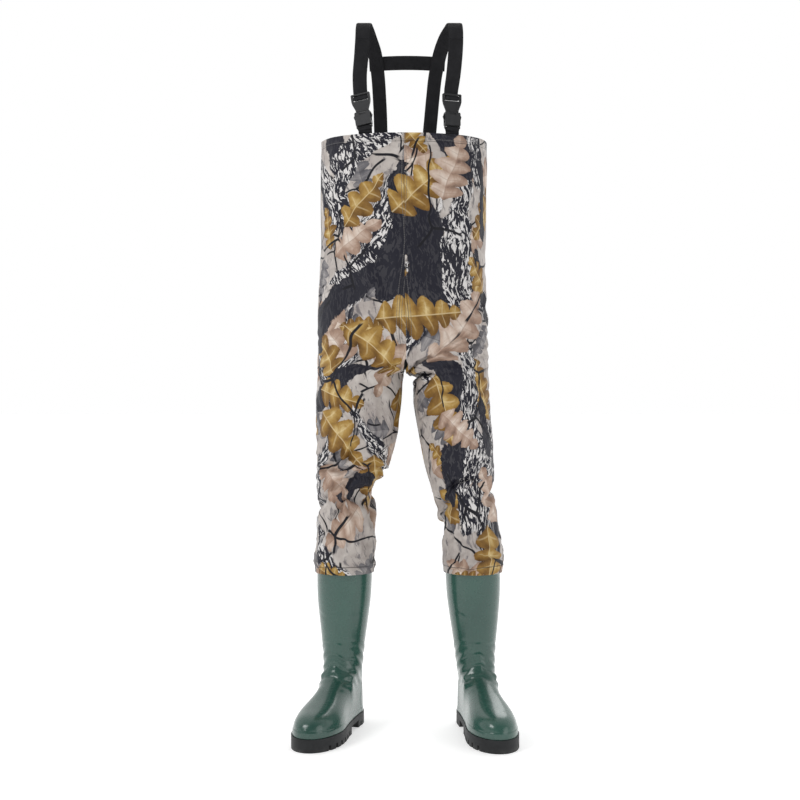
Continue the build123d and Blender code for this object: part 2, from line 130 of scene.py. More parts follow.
def settle(piece):
    """Applies a piece's modifiers and shape keys."""
    depsgraph = bpy.context.evaluated_depsgraph_get()
    mesh = bpy.data.meshes.new_from_object(piece.evaluated_get(depsgraph))
    piece.modifiers.clear()
    if piece.data.shape_keys:
        piece.shape_key_clear()
    old, piece.data = piece.data, mesh
    mesh.name = piece.name
    bpy.data.meshes.remove(old)
    return piece


# ---- shader tools ----
def by_math(operation):
    """A method that joins a signal to the others given with one Math node."""

    def method(self, *others):
        return self.math(operation, *others)

    return method


class Signal:
    """A value or colour that changes over a surface: one output socket of a finish's nodes."""

    def __init__(self, finish, socket):
        self.finish, self.socket = finish, socket

    def math(self, operation, *others):
        return self.finish.node("ShaderNodeMath", {"operation": operation}, dict(enumerate((self, *others))))

    __add__ = __radd__ = by_math("ADD")
    __mul__ = __rmul__ = by_math("MULTIPLY")
    __sub__, __truediv__, __pow__ = by_math("SUBTRACT"), by_math("DIVIDE"), by_math("POWER")
    __gt__, __lt__, __abs__ = by_math("GREATER_THAN"), by_math("LESS_THAN"), by_math("ABSOLUTE")
    floor, wrap, sin, cos = by_math("FLOOR"), by_math("FRACT"), by_math("SINE"), by_math("COSINE")
    least, most = by_math("MINIMUM"), by_math("MAXIMUM")

    def __rsub__(self, other):
        return self.finish.node("ShaderNodeMath", {"operation": "SUBTRACT"}, {0: other, 1: self})

    def rise(self, low, high, start=0.0, stop=1.0):
        """start below low, stop above high, and a smooth change between them."""
        settings = {"interpolation_type": "SMOOTHSTEP"}
        sockets = {"Value": self, "From Min": low, "From Max": high, "To Min": start, "To Max": stop}
        return self.finish.node("ShaderNodeMapRange", settings, sockets)

    def fall(self, low, high):
        """1 below low, 0 above high."""
        return self.rise(low, high, 1.0, 0.0)


class Finish:
    """One material, built from its principled shader outwards."""

    def __init__(self, name, **constants):
        self.material = bpy.data.materials.new(name)
        self.material.use_nodes = True
        self.tree = self.material.node_tree
        self.tree.nodes.clear()
        self.shader = self.tree.nodes.new("ShaderNodeBsdfPrincipled")
        output = self.tree.nodes.new("ShaderNodeOutputMaterial")
        self.tree.links.new(self.shader.outputs[0], output.inputs["Surface"])
        for socket, value in constants.items():
            self.shader.inputs[socket.replace("_", " ")].default_value = value

    def node(self, kind, settings=None, sockets=None, out=0):
        """Adds a node: its settings first, then the values or links of its sockets."""
        made = self.tree.nodes.new(kind)
        for key, value in (settings or {}).items():
            if key == "stops":
                elements = made.color_ramp.elements
                while len(elements) > 1:
                    elements.remove(elements[-1])
                for k, (place, colour) in enumerate(value):
                    stop = elements[0] if k == 0 else elements.new(place)
                    stop.position, stop.color = place, (*colour, 1.0)
            else:
                setattr(made, key, value)
        for key, value in (sockets or {}).items():
            if isinstance(value, Signal):
                self.tree.links.new(value.socket, made.inputs[key])
            elif isinstance(value, tuple) and len(value) == 3 and made.inputs[key].type == "RGBA":
                made.inputs[key].default_value = (*value, 1.0)
            else:
                made.inputs[key].default_value = value
        outputs = [s for s in made.outputs if s.enabled]
        return Signal(self, made.outputs[out] if isinstance(out, str) else outputs[out])

    def split(self, vector, kind="ShaderNodeSeparateXYZ"):
        first = self.node(kind, None, {0: vector})
        return [Signal(self, socket) for socket in first.socket.node.outputs]

    def join(self, x, y, z=0.0):
        return self.node("ShaderNodeCombineXYZ", None, {"X": x, "Y": y, "Z": z})

    def place(self):
        """Object coordinates: metres in the part's frame."""
        return self.node("ShaderNodeTexCoord", None, None, out="Object")

    def pattern(self):
        return self.node("ShaderNodeUVMap", {"uv_map": "pattern"})

    def noise(self, at, scale, detail=2.0, rough=0.5, warp=0.0):
        sockets = {"Vector": at, "Scale": scale, "Detail": detail, "Roughness": rough, "Distortion": warp}
        return self.node("ShaderNodeTexNoise", None, sockets)

    def blend(self, share, low, high):
        """The colour low where share is 0 and high where it is 1."""
        sockets = {"Factor": share, 6: low, 7: high}
        return self.node("ShaderNodeMix", {"data_type": "RGBA"}, sockets, out=0)

    def ramp(self, value, *stops):
        return self.node("ShaderNodeValToRGB", {"stops": stops}, {"Fac": value}, out="Color")

    def bump(self, height, distance, strength=1.0, normal=None):
        sockets = {"Height": height, "Distance": distance, "Strength": strength}
        if normal is not None:
            sockets["Normal"] = normal
        return self.node("ShaderNodeBump", None, sockets)

    def feed(self, **signals):
        for socket, signal in signals.items():
            self.tree.links.new(signal.socket, self.shader.inputs[socket.replace("_", " ")])
        return self.material


# ---- printed fabric ----
def leaf(f, x, y, length, lobes, ragged, turn=0.0):
    """A lobed leaf centred on (0, 0) with its midrib turned by turn: its mask, its veins and its light and shade."""
    c, s = (turn.cos(), turn.sin()) if isinstance(turn, Signal) else (math.cos(turn), math.sin(turn))
    along, across = (x * c + y * s) / length + 0.5, (y * c - x * s) / length
    along = along + across * across * 0.5
    off = abs(across)
    swell = (along * (1.04 - along) * 4.0).most(0.0)
    phase = along * lobes - off * 1.5
    teeth = abs((phase * math.pi).sin()) ** 0.65
    reach = (swell ** 0.75) * (teeth * 0.62 + 0.34) * (along * -0.35 + 0.62) * 0.62
    mask = (off + ragged / length - reach).fall(-0.012, 0.004) * (along > 0.0) * (along < 1.0)
    rib = off.fall(0.004, 0.011)
    side = abs(phase.wrap() - 0.5).fall(0.02, 0.06) * off.fall(0.12, 0.24)
    shade = across.rise(-0.02, 0.02) * 0.28 + (reach - off) * 1.1 + (phase * (2 * math.pi)).cos() * -0.10
    return mask, rib.most(side * 0.6), shade


def leaf_cells(f, u, v, cell, length, seed):
    """A turned grid over the cloth: where a point lies in its cell, and three chances for that cell."""
    c, s = math.cos(seed), math.sin(seed)
    across, up = (u * c + v * s) * (1 / cell) + seed * 7.31, (v * c - u * s) * (1 / cell) + seed * 3.77
    sockets = {"Vector": f.join(across.floor(), up.floor())}
    chance = f.node("ShaderNodeTexWhiteNoise", {"noise_dimensions": "2D"}, sockets, out="Color")
    first, second, third = f.split(chance, "ShaderNodeSeparateColor")
    spare = 1 - length / cell
    x = (across.wrap() - 0.5 - (first - 0.5) * spare) * cell
    y = (up.wrap() - 0.5 - (second - 0.5) * spare) * cell
    return x, y, first, third, length


def limb(f, u, v, start, end, width_a, width_b, wobble):
    """How far inside a tapering limb from start to end a point is, in half widths."""
    du, dv = end[0] - start[0], end[1] - start[1]
    length = du * du + dv * dv
    along = ((u - start[0]) * (du / length) + (v - start[1]) * (dv / length)).least(1.0).most(0.0)
    off_u, off_v = u - start[0] - along * du, v - start[1] - along * dv
    distance = (off_u * off_u + off_v * off_v) ** 0.5 + wobble
    return distance / (along * (width_b - width_a) + width_a)


def bark(f, u, v, lean):
    """Pale broken strokes on dark bark, running along the direction lean."""
    c, s = math.cos(lean), math.sin(lean)
    across, along = u * c + v * s, v * c - u * s
    strokes = f.noise(f.join(across * 210, along * 62), 1.0, 2.0, 0.62, 0.9)
    groups = f.noise(f.join(across * 38, along * 17), 1.0, 2.0, 0.6)
    return (strokes + (groups - 0.5) * 0.30 + 0.015).rise(0.535, 0.58)


def twigs(f, u, v, across, up, width):
    """Thin crooked twigs: the edges of stretched cells."""
    sockets = {"Vector": f.join(u * across, v * up), "Scale": 1.0, "Randomness": 1.0}
    settings = {"voronoi_dimensions": "2D", "feature": "DISTANCE_TO_EDGE"}
    return f.node("ShaderNodeTexVoronoi", settings, sockets, out="Distance").fall(width * 0.6, width)


STITCH = 0.0036  # length of a stitch and its gap
INK, COAL, CHALK = (0.0075, 0.0075, 0.011), (0.012, 0.012, 0.020), (0.62, 0.60, 0.59)
# a leaf's colours from its shaded side to its light side
GOLD = (
    (0.0, (0.055, 0.024, 0.006)), (0.35, (0.19, 0.098, 0.022)),
    (0.6, (0.34, 0.205, 0.052)), (0.9, (0.62, 0.49, 0.24)),
)
PALE = (
    (0.0, (0.11, 0.065, 0.048)), (0.35, (0.32, 0.215, 0.160)),
    (0.6, (0.50, 0.39, 0.32)), (0.9, (0.70, 0.63, 0.56)),
)
GREY = (
    (0.0, (0.035, 0.034, 0.040)), (0.4, (0.12, 0.115, 0.125)),
    (0.7, (0.26, 0.245, 0.245)), (1.0, (0.42, 0.40, 0.385)),
)


def printed_fabric(name):
    """The outer face of the coated fabric: woods printed over pale ground, fine weave, welded seams.

    Every texture is read first, and the rest waits for them, which keeps few values in use at a time.
    """
    f = Finish(name, IOR=1.45, Specular_IOR_Level=0.22)
    shop = bpy.context.scene.waders_fabric
    true_u, true_v, _ = f.split(f.pattern())
    shift = f.node("ShaderNodeValue", {"name": "shift"})
    u, v = true_u + shift, true_v + shift * 0.7
    at = f.join(u, v)
    soft = f.noise(at, 9.0, 3.0, 0.55)
    rough = f.noise(at, 42.0, 4.0, 0.62, 0.4)
    fine = f.noise(at, 260.0, 3.0, 0.6)
    thick = f.noise(at, 3.6, 1.0, 0.5)
    ragged = (rough - 0.5) * 0.020 + (fine - 0.5) * 0.005
    drift = f.node("ShaderNodeTexNoise", None, {"Vector": at, "Scale": 7.0, "Detail": 2.0}, out="Color")
    drift_u, drift_v, _ = f.split(drift, "ShaderNodeSeparateColor")
    wu, wv = u + (drift_u - 0.5) * 0.07, v + (drift_v - 0.5) * 0.07
    streaks = f.noise(f.join(wu * 95 + wv * 20, wv * 34), 1.0, 4.0, 0.66, 0.5).rise(0.53, 0.64)
    gaps = f.noise(f.join(u + 2.7, v), 11.0, 1.0, 0.5)
    thin = twigs(f, wu, wv, 15.0, 8.0, 0.030) * gaps.rise(0.50, 0.53)
    thin = thin.most(twigs(f, wu, wv + 3.1, 7.0, 12.0, 0.026) * gaps.fall(0.48, 0.51))
    late = twigs(f, wu, wv - 7.7, 9.0, 6.0, 0.022) * gaps.rise(0.47, 0.5)
    slopes = ((0.78, 0.62, 0.235, 0.11, 0.44), (-0.95, 0.30, 0.29, 0.31, 0.48))
    barks = [bark(f, wu, wv, math.atan2(slope[1], slope[0])) for slope in slopes]
    upright = bark(f, wu, wv, 0.05)
    layers = [leaf_cells(f, u, v, *row) for row in LEAF_LAYERS]
    wait = (layers[0][2] + layers[1][2] + layers[2][2] + layers[3][2] + layers[4][2] + streaks + thin + late) * 1e-7
    wait = wait + (barks[0] + barks[1] + upright + thick) * 1e-7

    def lay(paint, mask, veins, shade, stops, vein):
        tone = f.ramp(shade * 0.75 + rough * 0.85 - 0.16, *stops)
        return f.blend(mask, paint, f.blend(veins * 0.5, tone, vein))

    def scatter(paint, cells, share, lobes, stops, vein):
        x, y, first, third, length = cells
        mask, veins, shade = leaf(f, x + wait, y, length, lobes, ragged, third * 12.566)
        return lay(paint, mask * ((first + third).wrap() < share), veins, shade, stops, vein)

    ground = f.ramp(soft * 0.55 + rough * 0.45 + wait, (0.30, (0.235, 0.205, 0.195)), (0.45, (0.375, 0.335, 0.312)),
                    (0.56, (0.47, 0.43, 0.40)), (0.7, (0.57, 0.535, 0.51)))
    ground = f.blend(streaks * 0.75, ground, (0.105, 0.098, 0.108))
    ground = scatter(ground, layers[0], 0.62, 5, GREY, (0.05, 0.045, 0.05))
    ground = scatter(ground, layers[1], 0.55, 4, PALE, (0.22, 0.14, 0.10))
    paint = f.blend(thin, ground, INK)
    for (slope_u, slope_v, period, offset, wide), strokes in zip(slopes, barks):
        band = ((wu * slope_u + wv * slope_v + ragged * 0.8 + wait) * (1 / period) + offset).wrap() - 0.5
        inside = abs(band) - (thick - 0.40) * wide - 0.035
        cover = inside.fall(-0.012, 0.010)
        paint = f.blend(cover, paint, f.blend(strokes * (band + 0.10).rise(0.0, 0.08), COAL, CHALK))
    paint = scatter(paint, layers[2], 0.40, 4, PALE, (0.22, 0.14, 0.10))
    paint = scatter(paint, layers[3], 0.26, 5, GOLD, (0.72, 0.60, 0.36))
    paint = scatter(paint, layers[4], 0.44, 5, GOLD, (0.72, 0.60, 0.36))
    # the large motifs of the front panels
    tu, tv = true_u + (drift_u - 0.5) * 0.05 + wait, true_v + (drift_v - 0.5) * 0.05
    for kind, start, end, width_a, width_b in FRONT_LIMBS:
        inside = limb(f, tu, tv, start, end, width_a, width_b, ragged * 1.1 + (soft - 0.5) * 0.05)
        strokes = upright * (thick * 0.07) if kind == "coal" else upright if kind == "bark" else barks[0]
        colour = f.blend(strokes, COAL, CHALK)
        paint = f.blend(inside.fall(0.93, 1.0), paint, colour)
    for kind, (cu, cv), length, turn, lobes in FRONT_LEAVES:
        mask, veins, shade = leaf(f, tu - cu, true_v - cv, length, lobes, ragged, turn)
        stops, vein = (GOLD, (0.74, 0.62, 0.38)) if kind == "gold" else (PALE, (0.25, 0.16, 0.12))
        paint = lay(paint, mask, veins, shade, stops, vein)
    paint = f.blend(late, paint, INK)
    # centre seam: a lap and two rows of stitching; a row under the rim
    edge = abs(true_u + wait)
    above = true_v.rise(CROTCH_Z + 0.06, CROTCH_Z + 0.07)
    hem = abs(true_v - (RIM_Z - 0.0135))
    stitch = (true_v * (1 / STITCH)).wrap().rise(0.22, 0.3) * above
    thread = (abs(edge - 0.0045).fall(0.0004, 0.0008)) * stitch
    thread = thread.most(hem.fall(0.0004, 0.0008) * (true_u * (1 / STITCH)).wrap().rise(0.22, 0.3))
    paint = f.blend(thread * 0.65, paint, (0.16, 0.155, 0.15))
    crease = (edge.fall(0.0003, 0.0012) * above).most(abs(true_v - (RIM_Z - 0.017)).fall(0.0002, 0.001))
    crease = crease.most(abs(true_v - (LEG_END_Z + 0.016)).fall(0.0004, 0.0014))
    paint = f.blend(crease * 0.6, paint, (0.015, 0.015, 0.018))
    weave = (true_u * 5200).sin() * (true_v * 5200).sin()
    crinkle = f.noise(f.join(true_u, true_v * 0.6), 34.0, 3.0, 0.55, 0.8)
    grain = f.noise(f.join(true_u, true_v), 260.0, 3.0, 0.6)
    relief = weave * 0.10 + grain * 0.35 + thread * 2.0 - crease * 3.0
    relief = relief + edge.fall(0.009, 0.0105) * above * 2.0 + crinkle * 5.0
    f.feed(Base_Color=paint, Roughness=soft * 0.16 + shop.roughness, Normal=f.bump(relief, 0.00045, 0.6))
    return f.material


# cell, length of a leaf, turn of the grid
LEAF_LAYERS = (
    (0.105, 0.090, 0.7), (0.125, 0.110, 2.6), (0.150, 0.128, 1.1), (0.105, 0.088, 3.9), (0.165, 0.142, 2.0),
)
# kind, start, end and half widths, on the flat front: across from the centre, up from the soles
FRONT_LIMBS = (
    ("coal", (-0.150, 1.235), (-0.135, 1.165), 0.030, 0.026),
    ("slanted", (-0.030, 1.235), (-0.135, 1.165), 0.034, 0.022),
    ("bark", (-0.110, 1.190), (-0.150, 1.040), 0.020, 0.016),
    ("coal", (-0.002, 0.990), (-0.215, 0.815), 0.022, 0.034),
    ("slanted", (-0.020, 1.000), (-0.150, 0.915), 0.015, 0.010),
    ("coal", (-0.005, 1.150), (-0.020, 0.905), 0.013, 0.022),
    ("coal", (0.040, 1.050), (0.048, 0.885), 0.034, 0.050),
    ("bark", (0.110, 1.120), (0.100, 0.885), 0.026, 0.030),
    ("coal", (0.075, 1.235), (0.125, 1.150), 0.034, 0.026),
    ("bark", (0.140, 1.235), (0.155, 1.130), 0.022, 0.018),
    ("coal", (0.165, 1.160), (0.185, 1.020), 0.014, 0.014),
    ("coal", (0.150, 0.985), (0.205, 0.860), 0.008, 0.014),
    ("coal", (-0.055, 0.755), (-0.200, 0.690), 0.016, 0.026),
    ("coal", (0.075, 0.745), (0.110, 0.640), 0.034, 0.030),
    ("bark", (0.130, 0.770), (0.120, 0.420), 0.026, 0.026),
    ("coal", (0.160, 0.660), (0.195, 0.560), 0.014, 0.016),
    ("coal", (0.090, 0.560), (0.085, 0.450), 0.026, 0.022),
    ("coal", (-0.060, 0.500), (-0.130, 0.465), 0.020, 0.018),
)
FRONT_LEAVES = (
    ("pale", (-0.090, 1.010), 0.120, 0.6, 4),
    ("gold", (-0.078, 1.085), 0.130, 0.9, 4),
    ("gold", (0.040, 1.115), 0.165, 0.75, 5),
    ("pale", (0.092, 1.150), 0.135, 1.35, 5),
    ("gold", (-0.168, 1.035), 0.090, 1.8, 4),
    ("gold", (0.158, 0.940), 0.095, 2.3, 4),
    ("pale", (0.110, 0.830), 0.185, 0.95, 5),
    ("gold", (0.030, 0.855), 0.150, 0.1, 5),
    ("gold", (-0.050, 0.785), 0.150, -0.75, 5),
    ("gold", (-0.130, 0.690), 0.125, -0.25, 4),
    ("gold", (-0.130, 0.600), 0.170, -0.8, 4),
    ("gold", (0.060, 0.640), 0.150, -1.2, 4),
    ("pale", (0.100, 0.600), 0.120, -0.6, 5),
    ("pale", (-0.150, 0.490), 0.120, -0.9, 4),
)


def fabric_backing():
    """The smooth coated inside of the fabric."""
    f = Finish("fabric_backing", Roughness=0.5)
    at = f.place()
    cloud = f.noise(at, 12.0, 3.0)
    colour = f.ramp(cloud, (0.35, (0.075, 0.085, 0.08)), (0.65, (0.11, 0.12, 0.112)))
    cells = f.noise(at, 900.0, 2.0)
    f.feed(Base_Color=colour, Roughness=cloud * 0.2 + 0.38, Normal=f.bump(cells, 0.0002, 0.5))
    return f.material


# ---- garment ----
def cut_lines(names, z):
    """Centre x, half width, centre y and half depth where a level plane cuts CAD nodes."""
    hits = []
    for name in names:
        if name not in MADE:
            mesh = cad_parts[name].data
            co = np.array([v.co for v in mesh.vertices])
            MADE[name] = (co, np.array([e.vertices[:] for e in mesh.edges]))
        co, edges = MADE[name]
        a, b = co[edges[:, 0]], co[edges[:, 1]]
        crossing = (a[:, 2] - z) * (b[:, 2] - z) < 0
        a, b = a[crossing], b[crossing]
        hits.append(a + (b - a) * ((z - a[:, 2]) / (b[:, 2] - a[:, 2]))[:, None])
    hits = np.concatenate(hits)
    low, high = hits.min(0), hits.max(0)
    return (low[0] + high[0]) / 2, (high[0] - low[0]) / 2, (low[1] + high[1]) / 2, (high[1] - low[1]) / 2


class Form:
    """The garment's fitted shape on one side, as a surface of rows (up) and columns (round)."""

    def __init__(self, side):
        self.side, self.sign = side, SIDES[side]
        legs = [f"{side}_{n}" for n in LEG_NODES]
        trunk = ["left_bib_panel", "right_bib_panel"] + [f"{s}_hip_fabric" for s in SIDES]
        levels = np.linspace(LEG_END_Z + 0.0015, CROTCH_Z - 0.002, 30)
        self.leg = [(z, cut_lines(legs, z)) for z in levels]
        levels = np.linspace(SEAT_Z + 0.001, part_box("left_bib_panel")[1].z - 0.001, 24)
        self.trunk = [(z, cut_lines(trunk, z)) for z in levels]

    def sizes(self, table, z):
        return [ramp([(row[0], row[1][k]) for row in table], z) for k in range(4)]

    def leg_point(self, z, s, inset):
        x, a, y, b = self.sizes(self.leg, z)
        angle = 2 * math.pi * s
        px = x - self.sign * (a - inset) * math.cos(angle)
        return Vector((px, y - (b - inset) * math.sin(angle), z))

    def trunk_point(self, z, s, inset):
        x, a, y, b = self.sizes(self.trunk, z)
        angle = math.pi * s
        square = 1.0 / (abs(math.sin(angle)) ** 2.15 + abs(math.cos(angle)) ** 2.15) ** (1 / 2.15)
        px = self.sign * (a - inset) * math.sin(angle) * square + x * smooth(0.0, 0.3, min(s, 1 - s))
        return Vector((px, y - (b - inset) * math.cos(angle) * square, z))

    def point(self, row, s, inset=0.0):
        """row runs 0 to 1 over the leg, 1 to 2 over the fork and 2 to 3 over the trunk."""
        if row <= 1:
            return self.leg_point(mixed(LEG_END_Z, CROTCH_Z, row), s, inset)
        if row >= 2:
            return self.trunk_point(mixed(SEAT_Z, RIM_Z, row - 2), s, inset)
        turn = (row - 1) * math.pi / 2
        near = 1 - smooth(0.0, 0.3, min(s, 1 - s))
        share = mixed(row - 1, math.sin(turn), near)
        rise = mixed(row - 1, 1 - math.cos(turn), near)
        low, high = self.leg_point(CROTCH_Z, s, inset), self.trunk_point(SEAT_Z, s, inset)
        low.x *= 1 - near
        point = low.lerp(high, share)
        point.z = mixed(CROTCH_Z, SEAT_Z, rise)
        return point


def garment_rows():
    return [k / 56 for k in range(56)] + [1 + k / 14 for k in range(14)] + [2 + k / 52 for k in range(53)]


def flat_pattern(form, rows, columns):
    """Where each point of a side lies on the flat cloth, in metres."""
    flat = {}
    for i, row in enumerate(rows):
        loop = [form.point(row, k / 32) for k in range(33)]
        width = sum((a - b).length for a, b in zip(loop, loop[1:]))
        outer_z = form.point(row, 0.5).z
        for j in range(columns + 1):
            s = j / columns
            flat[i, j] = (form.sign * ((s - 0.5) * width + PATTERN_CENTRE), outer_z)
    return flat


def cut_length(z):
    """How far below its fitted height a point is in the longer shape that the cloth was cut to."""
    shop = bpy.context.scene.waders_fabric
    return shop.bunching * 0.1 * (1 - smooth(LEG_END_Z + 0.012, LEG_END_Z + 0.16, z)) + 0.012 * (RIM_Z - z)


def build_garment():
    """One mesh for the bib and both legs, draped on a form of the wearer that is removed afterwards."""
    shop = bpy.context.scene.waders_fabric
    rows, columns = garment_rows(), shop.columns
    verts, cut, faces, uvs, skin, place = [], [], [], [], [], {}
    body_verts, body_faces = [], []
    for side, sign in SIDES.items():
        form = Form(side)
        MADE[f"{side}_form"] = form
        flat = flat_pattern(form, rows, columns)
        index = {}
        for i, row in enumerate(rows):
            for j in range(columns + 1):
                if row < 1 and j == columns:
                    index[i, j] = index[i, 0]
                    continue
                p = form.point(row, j / columns)
                if row >= 1 and j in (0, columns):
                    p.x = 0.0
                key = tuple(round(c, 5) for c in p)
                if key in place:
                    index[i, j] = place[key]
                    continue
                index[i, j] = place[key] = len(verts)
                centre = Vector((form.sizes(form.leg, p.z)[0] if row < 1 else 0.0, BODY_Y, p.z))
                away = (p - centre) * Vector((1, 1, 0))
                ease = mixed(1.03, 1.01, smooth(CROTCH_Z - 0.1, CROTCH_Z, p.z))
                verts.append(p + away.normalized() * 0.0016 * noise.noise(p * 28))
                lower = centre + away * ease
                lower.z -= cut_length(p.z)
                cut.append(lower)
        for i in range(len(rows) - 1):
            for j in range(columns):
                quad = [(i, j), (i, j + 1), (i + 1, j + 1), (i + 1, j)]
                if sign < 0:
                    quad.reverse()
                faces.append([index[q] for q in quad])
                uvs.extend(flat[q] for q in quad)
                skin.append(0 if side == "right" else 1)
        # the wearer's form inside, which the cloth rests on
        base = len(body_verts)
        levels = [k / 20 for k in range(21)] + [1 + k / 8 for k in range(1, 8)] + [2 + k / 20 for k in range(21)]
        for row in levels:
            z = form.point(row, 0.5).z
            inset = 0.0035 + shop.slack * smooth(LEG_END_Z + 0.032, LEG_END_Z + 0.075, z) * (
                1 - smooth(RIM_Z - 0.16, RIM_Z - 0.02, z)
            )
            body_verts += [form.point(row, k / BODY_COLUMNS, inset) for k in range(BODY_COLUMNS + 1)]
        for i in range(len(levels) - 1):
            for k in range(BODY_COLUMNS):
                low = base + i * (BODY_COLUMNS + 1) + k
                high = low + BODY_COLUMNS + 1
                quad = [low, low + 1, high + 1, high]
                body_faces.append(quad[::-1] if sign < 0 else quad)
    cloth = new_object("garment", verts, faces, uvs, [MADE["fabric_right"], MADE["fabric_left"]])
    cloth.data.polygons.foreach_set("material_index", skin)
    body = new_object("wearer", body_verts, body_faces)
    drape(cloth, body, cut)
    bpy.data.objects.remove(body)
    keep_outside(cloth)
    finer = cloth.modifiers.new("finer", "SUBSURF")
    finer.levels = finer.render_levels = 1
    settle(cloth)
    MADE["garment"] = cloth
    MADE["tree"] = BVHTree.FromObject(cloth, bpy.context.evaluated_depsgraph_get())


def keep_outside(cloth):
    """Lifts any fold that dips through the boot top or the glued band back to their surface."""
    forms = {side: MADE[f"{side}_form"] for side in SIDES}
    for vertex in cloth.data.vertices:
        p = vertex.co
        if p.z < BOOT_TOP_Z + 0.05:
            form = forms["right" if p.x < 0 else "left"]
            x, a, y, b = form.sizes(form.leg, max(p.z, LEG_END_Z + 0.002))
            depth = 0.0006 + 0.006 * smooth(BOOT_TOP_Z, BOOT_TOP_Z + 0.05, p.z)
            reach = math.hypot((p.x - x) / (a - depth), (p.y - y) / (b - depth))
            if reach < 1:
                vertex.co = Vector((x + (p.x - x) / reach, y + (p.y - y) / reach, p.z))


def drape(cloth, body, cut):
    """Simulates the cloth, cut longer than its fitted shape, settling on the wearer's form."""
    shop = bpy.context.scene.waders_fabric
    cloth.shape_key_add(name="fitted")
    longer = cloth.shape_key_add(name="cut")
    for k, p in enumerate(cut):
        longer.data[k].co = p
    longer.value = 0.0
    held = cloth.vertex_groups.new(name="held")
    for vertex in cloth.data.vertices:
        z = vertex.co.z
        grip = max(smooth(RIM_Z - 0.03, RIM_Z - 0.018, z), 1 - smooth(LEG_END_Z + 0.011, LEG_END_Z + 0.022, z))
        if abs(vertex.co.x) < 0.003 and CROTCH_Z - 0.01 < z < SEAT_Z:
            grip = 0.8
        if grip:
            held.add([vertex.index], grip, "REPLACE")
    body.modifiers.new("wall", "COLLISION")
    body.collision.thickness_outer = 0.002
    body.collision.cloth_friction = 12.0
    body.collision.use_culling = False
    same = cloth.modifiers.new("same", "EDGE_SPLIT")  # a step before the cloth, so that its rest shape is read
    same.use_edge_angle = same.use_edge_sharp = False
    modifier = cloth.modifiers.new("cloth", "CLOTH")
    settings = modifier.settings
    settings.quality = shop.quality
    settings.mass = 0.3
    settings.tension_stiffness = settings.compression_stiffness = shop.stretch
    settings.shear_stiffness = shop.stretch * 0.4
    settings.bending_stiffness = shop.bend
    settings.tension_damping = settings.compression_damping = settings.shear_damping = 2.0
    settings.bending_damping = 0.5
    settings.air_damping = 2.0
    settings.effector_weights.gravity = shop.gravity
    settings.vertex_group_mass = "held"
    settings.rest_shape_key = longer
    modifier.collision_settings.distance_min = 0.0015
    modifier.collision_settings.use_self_collision = True
    modifier.collision_settings.self_distance_min = 0.003
    modifier.collision_settings.self_friction = 4.0
    scene = bpy.context.scene
    modifier.point_cache.frame_start, modifier.point_cache.frame_end = 1, shop.steps
    scene.frame_start, scene.frame_end = 1, shop.steps
    for step in range(1, shop.steps + 1):
        scene.frame_set(step)
    settle(cloth)
    scene.frame_set(1)


def read(items, name, width, kind=np.float64):
    """One attribute of every item, as rows of width numbers."""
    values = np.empty(len(items) * width, dtype=kind)
    items.foreach_get(name, values)
    return values.reshape(-1, width)


def cut_pieces():
    """Cuts the settled garment into the pieces that move apart, keeping its normals across the cuts."""
    cloth = MADE["garment"]
    mesh = cloth.data
    co, normal = read(mesh.vertices, "co", 3), read(mesh.vertices, "normal", 3)
    corners = np.array([p.vertices[:] for p in mesh.polygons])
    uv = read(mesh.uv_layers["pattern"].data, "uv", 2, np.float32).reshape(-1, 4, 2)
    skin = read(mesh.polygons, "material_index", 1, np.int32).ravel()
    middle = co[corners].mean(1)
    fold = CROTCH_Z + np.abs(middle[:, 0]) * math.tan(HIP_TILT) + 0.008
    knee_cut = KNEE_HIGH_Z + 0.006
    zone = np.where(middle[:, 2] > fold, 0, np.where(middle[:, 2] > knee_cut, 1, 2))
    thick = bpy.context.scene.waders_fabric.thickness
    for side_index, side in enumerate(("right", "left")):
        for part, label in enumerate(("bib", "upper_leg", "lower_leg")):
            chosen = (zone == part) & (skin == side_index)
            name = f"{side}_{label}_fabric"
            quads = corners[chosen]
            used, back = np.unique(quads, return_inverse=True)
            back = back.reshape(-1, 4)
            count = len(used)
            outer, inner = co[used], co[used] - normal[used] * thick
            rim = open_edges(back)
            verts = np.concatenate([outer, inner])
            faces = [tuple(q) for q in back] + [tuple(q[::-1] + count) for q in back]
            faces += [(b, a, a + count, b + count) for a, b in rim]
            flat = list(uv[chosen].reshape(-1, 2)) + list(uv[chosen][:, ::-1].reshape(-1, 2))
            flat += [(0.0, 0.0)] * (4 * len(rim))
            materials = [MADE["fabric_right"], MADE["fabric_left"], MADE["backing"]]
            piece = new_object(name, verts, faces, flat, materials)
            index = list(skin[chosen]) + [2] * (len(back) + len(rim))
            piece.data.polygons.foreach_set("material_index", index)
            normals = np.concatenate([normal[used], -normal[used]])
            piece.data.normals_split_custom_set_from_vertices([tuple(n) for n in normals])
            MADE[name] = piece
    bpy.data.objects.remove(cloth)


def open_edges(quads):
    """The directed edges that only one quad uses."""
    edges = {}
    for q in quads:
        for k in range(4):
            edges[int(q[k]), int(q[(k + 1) % 4])] = True
    return [edge for edge in edges if (edge[1], edge[0]) not in edges]


def fit(piece, nodes, slot, body="bib", **cloth):
    """Rides a sheet on its body when one is given, and hides the CAD nodes that it replaces; slot, the cloth that it
    is cut from, and the settings in cloth are not used.
    """
    if body:
        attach(piece, body)
    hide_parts(*nodes)


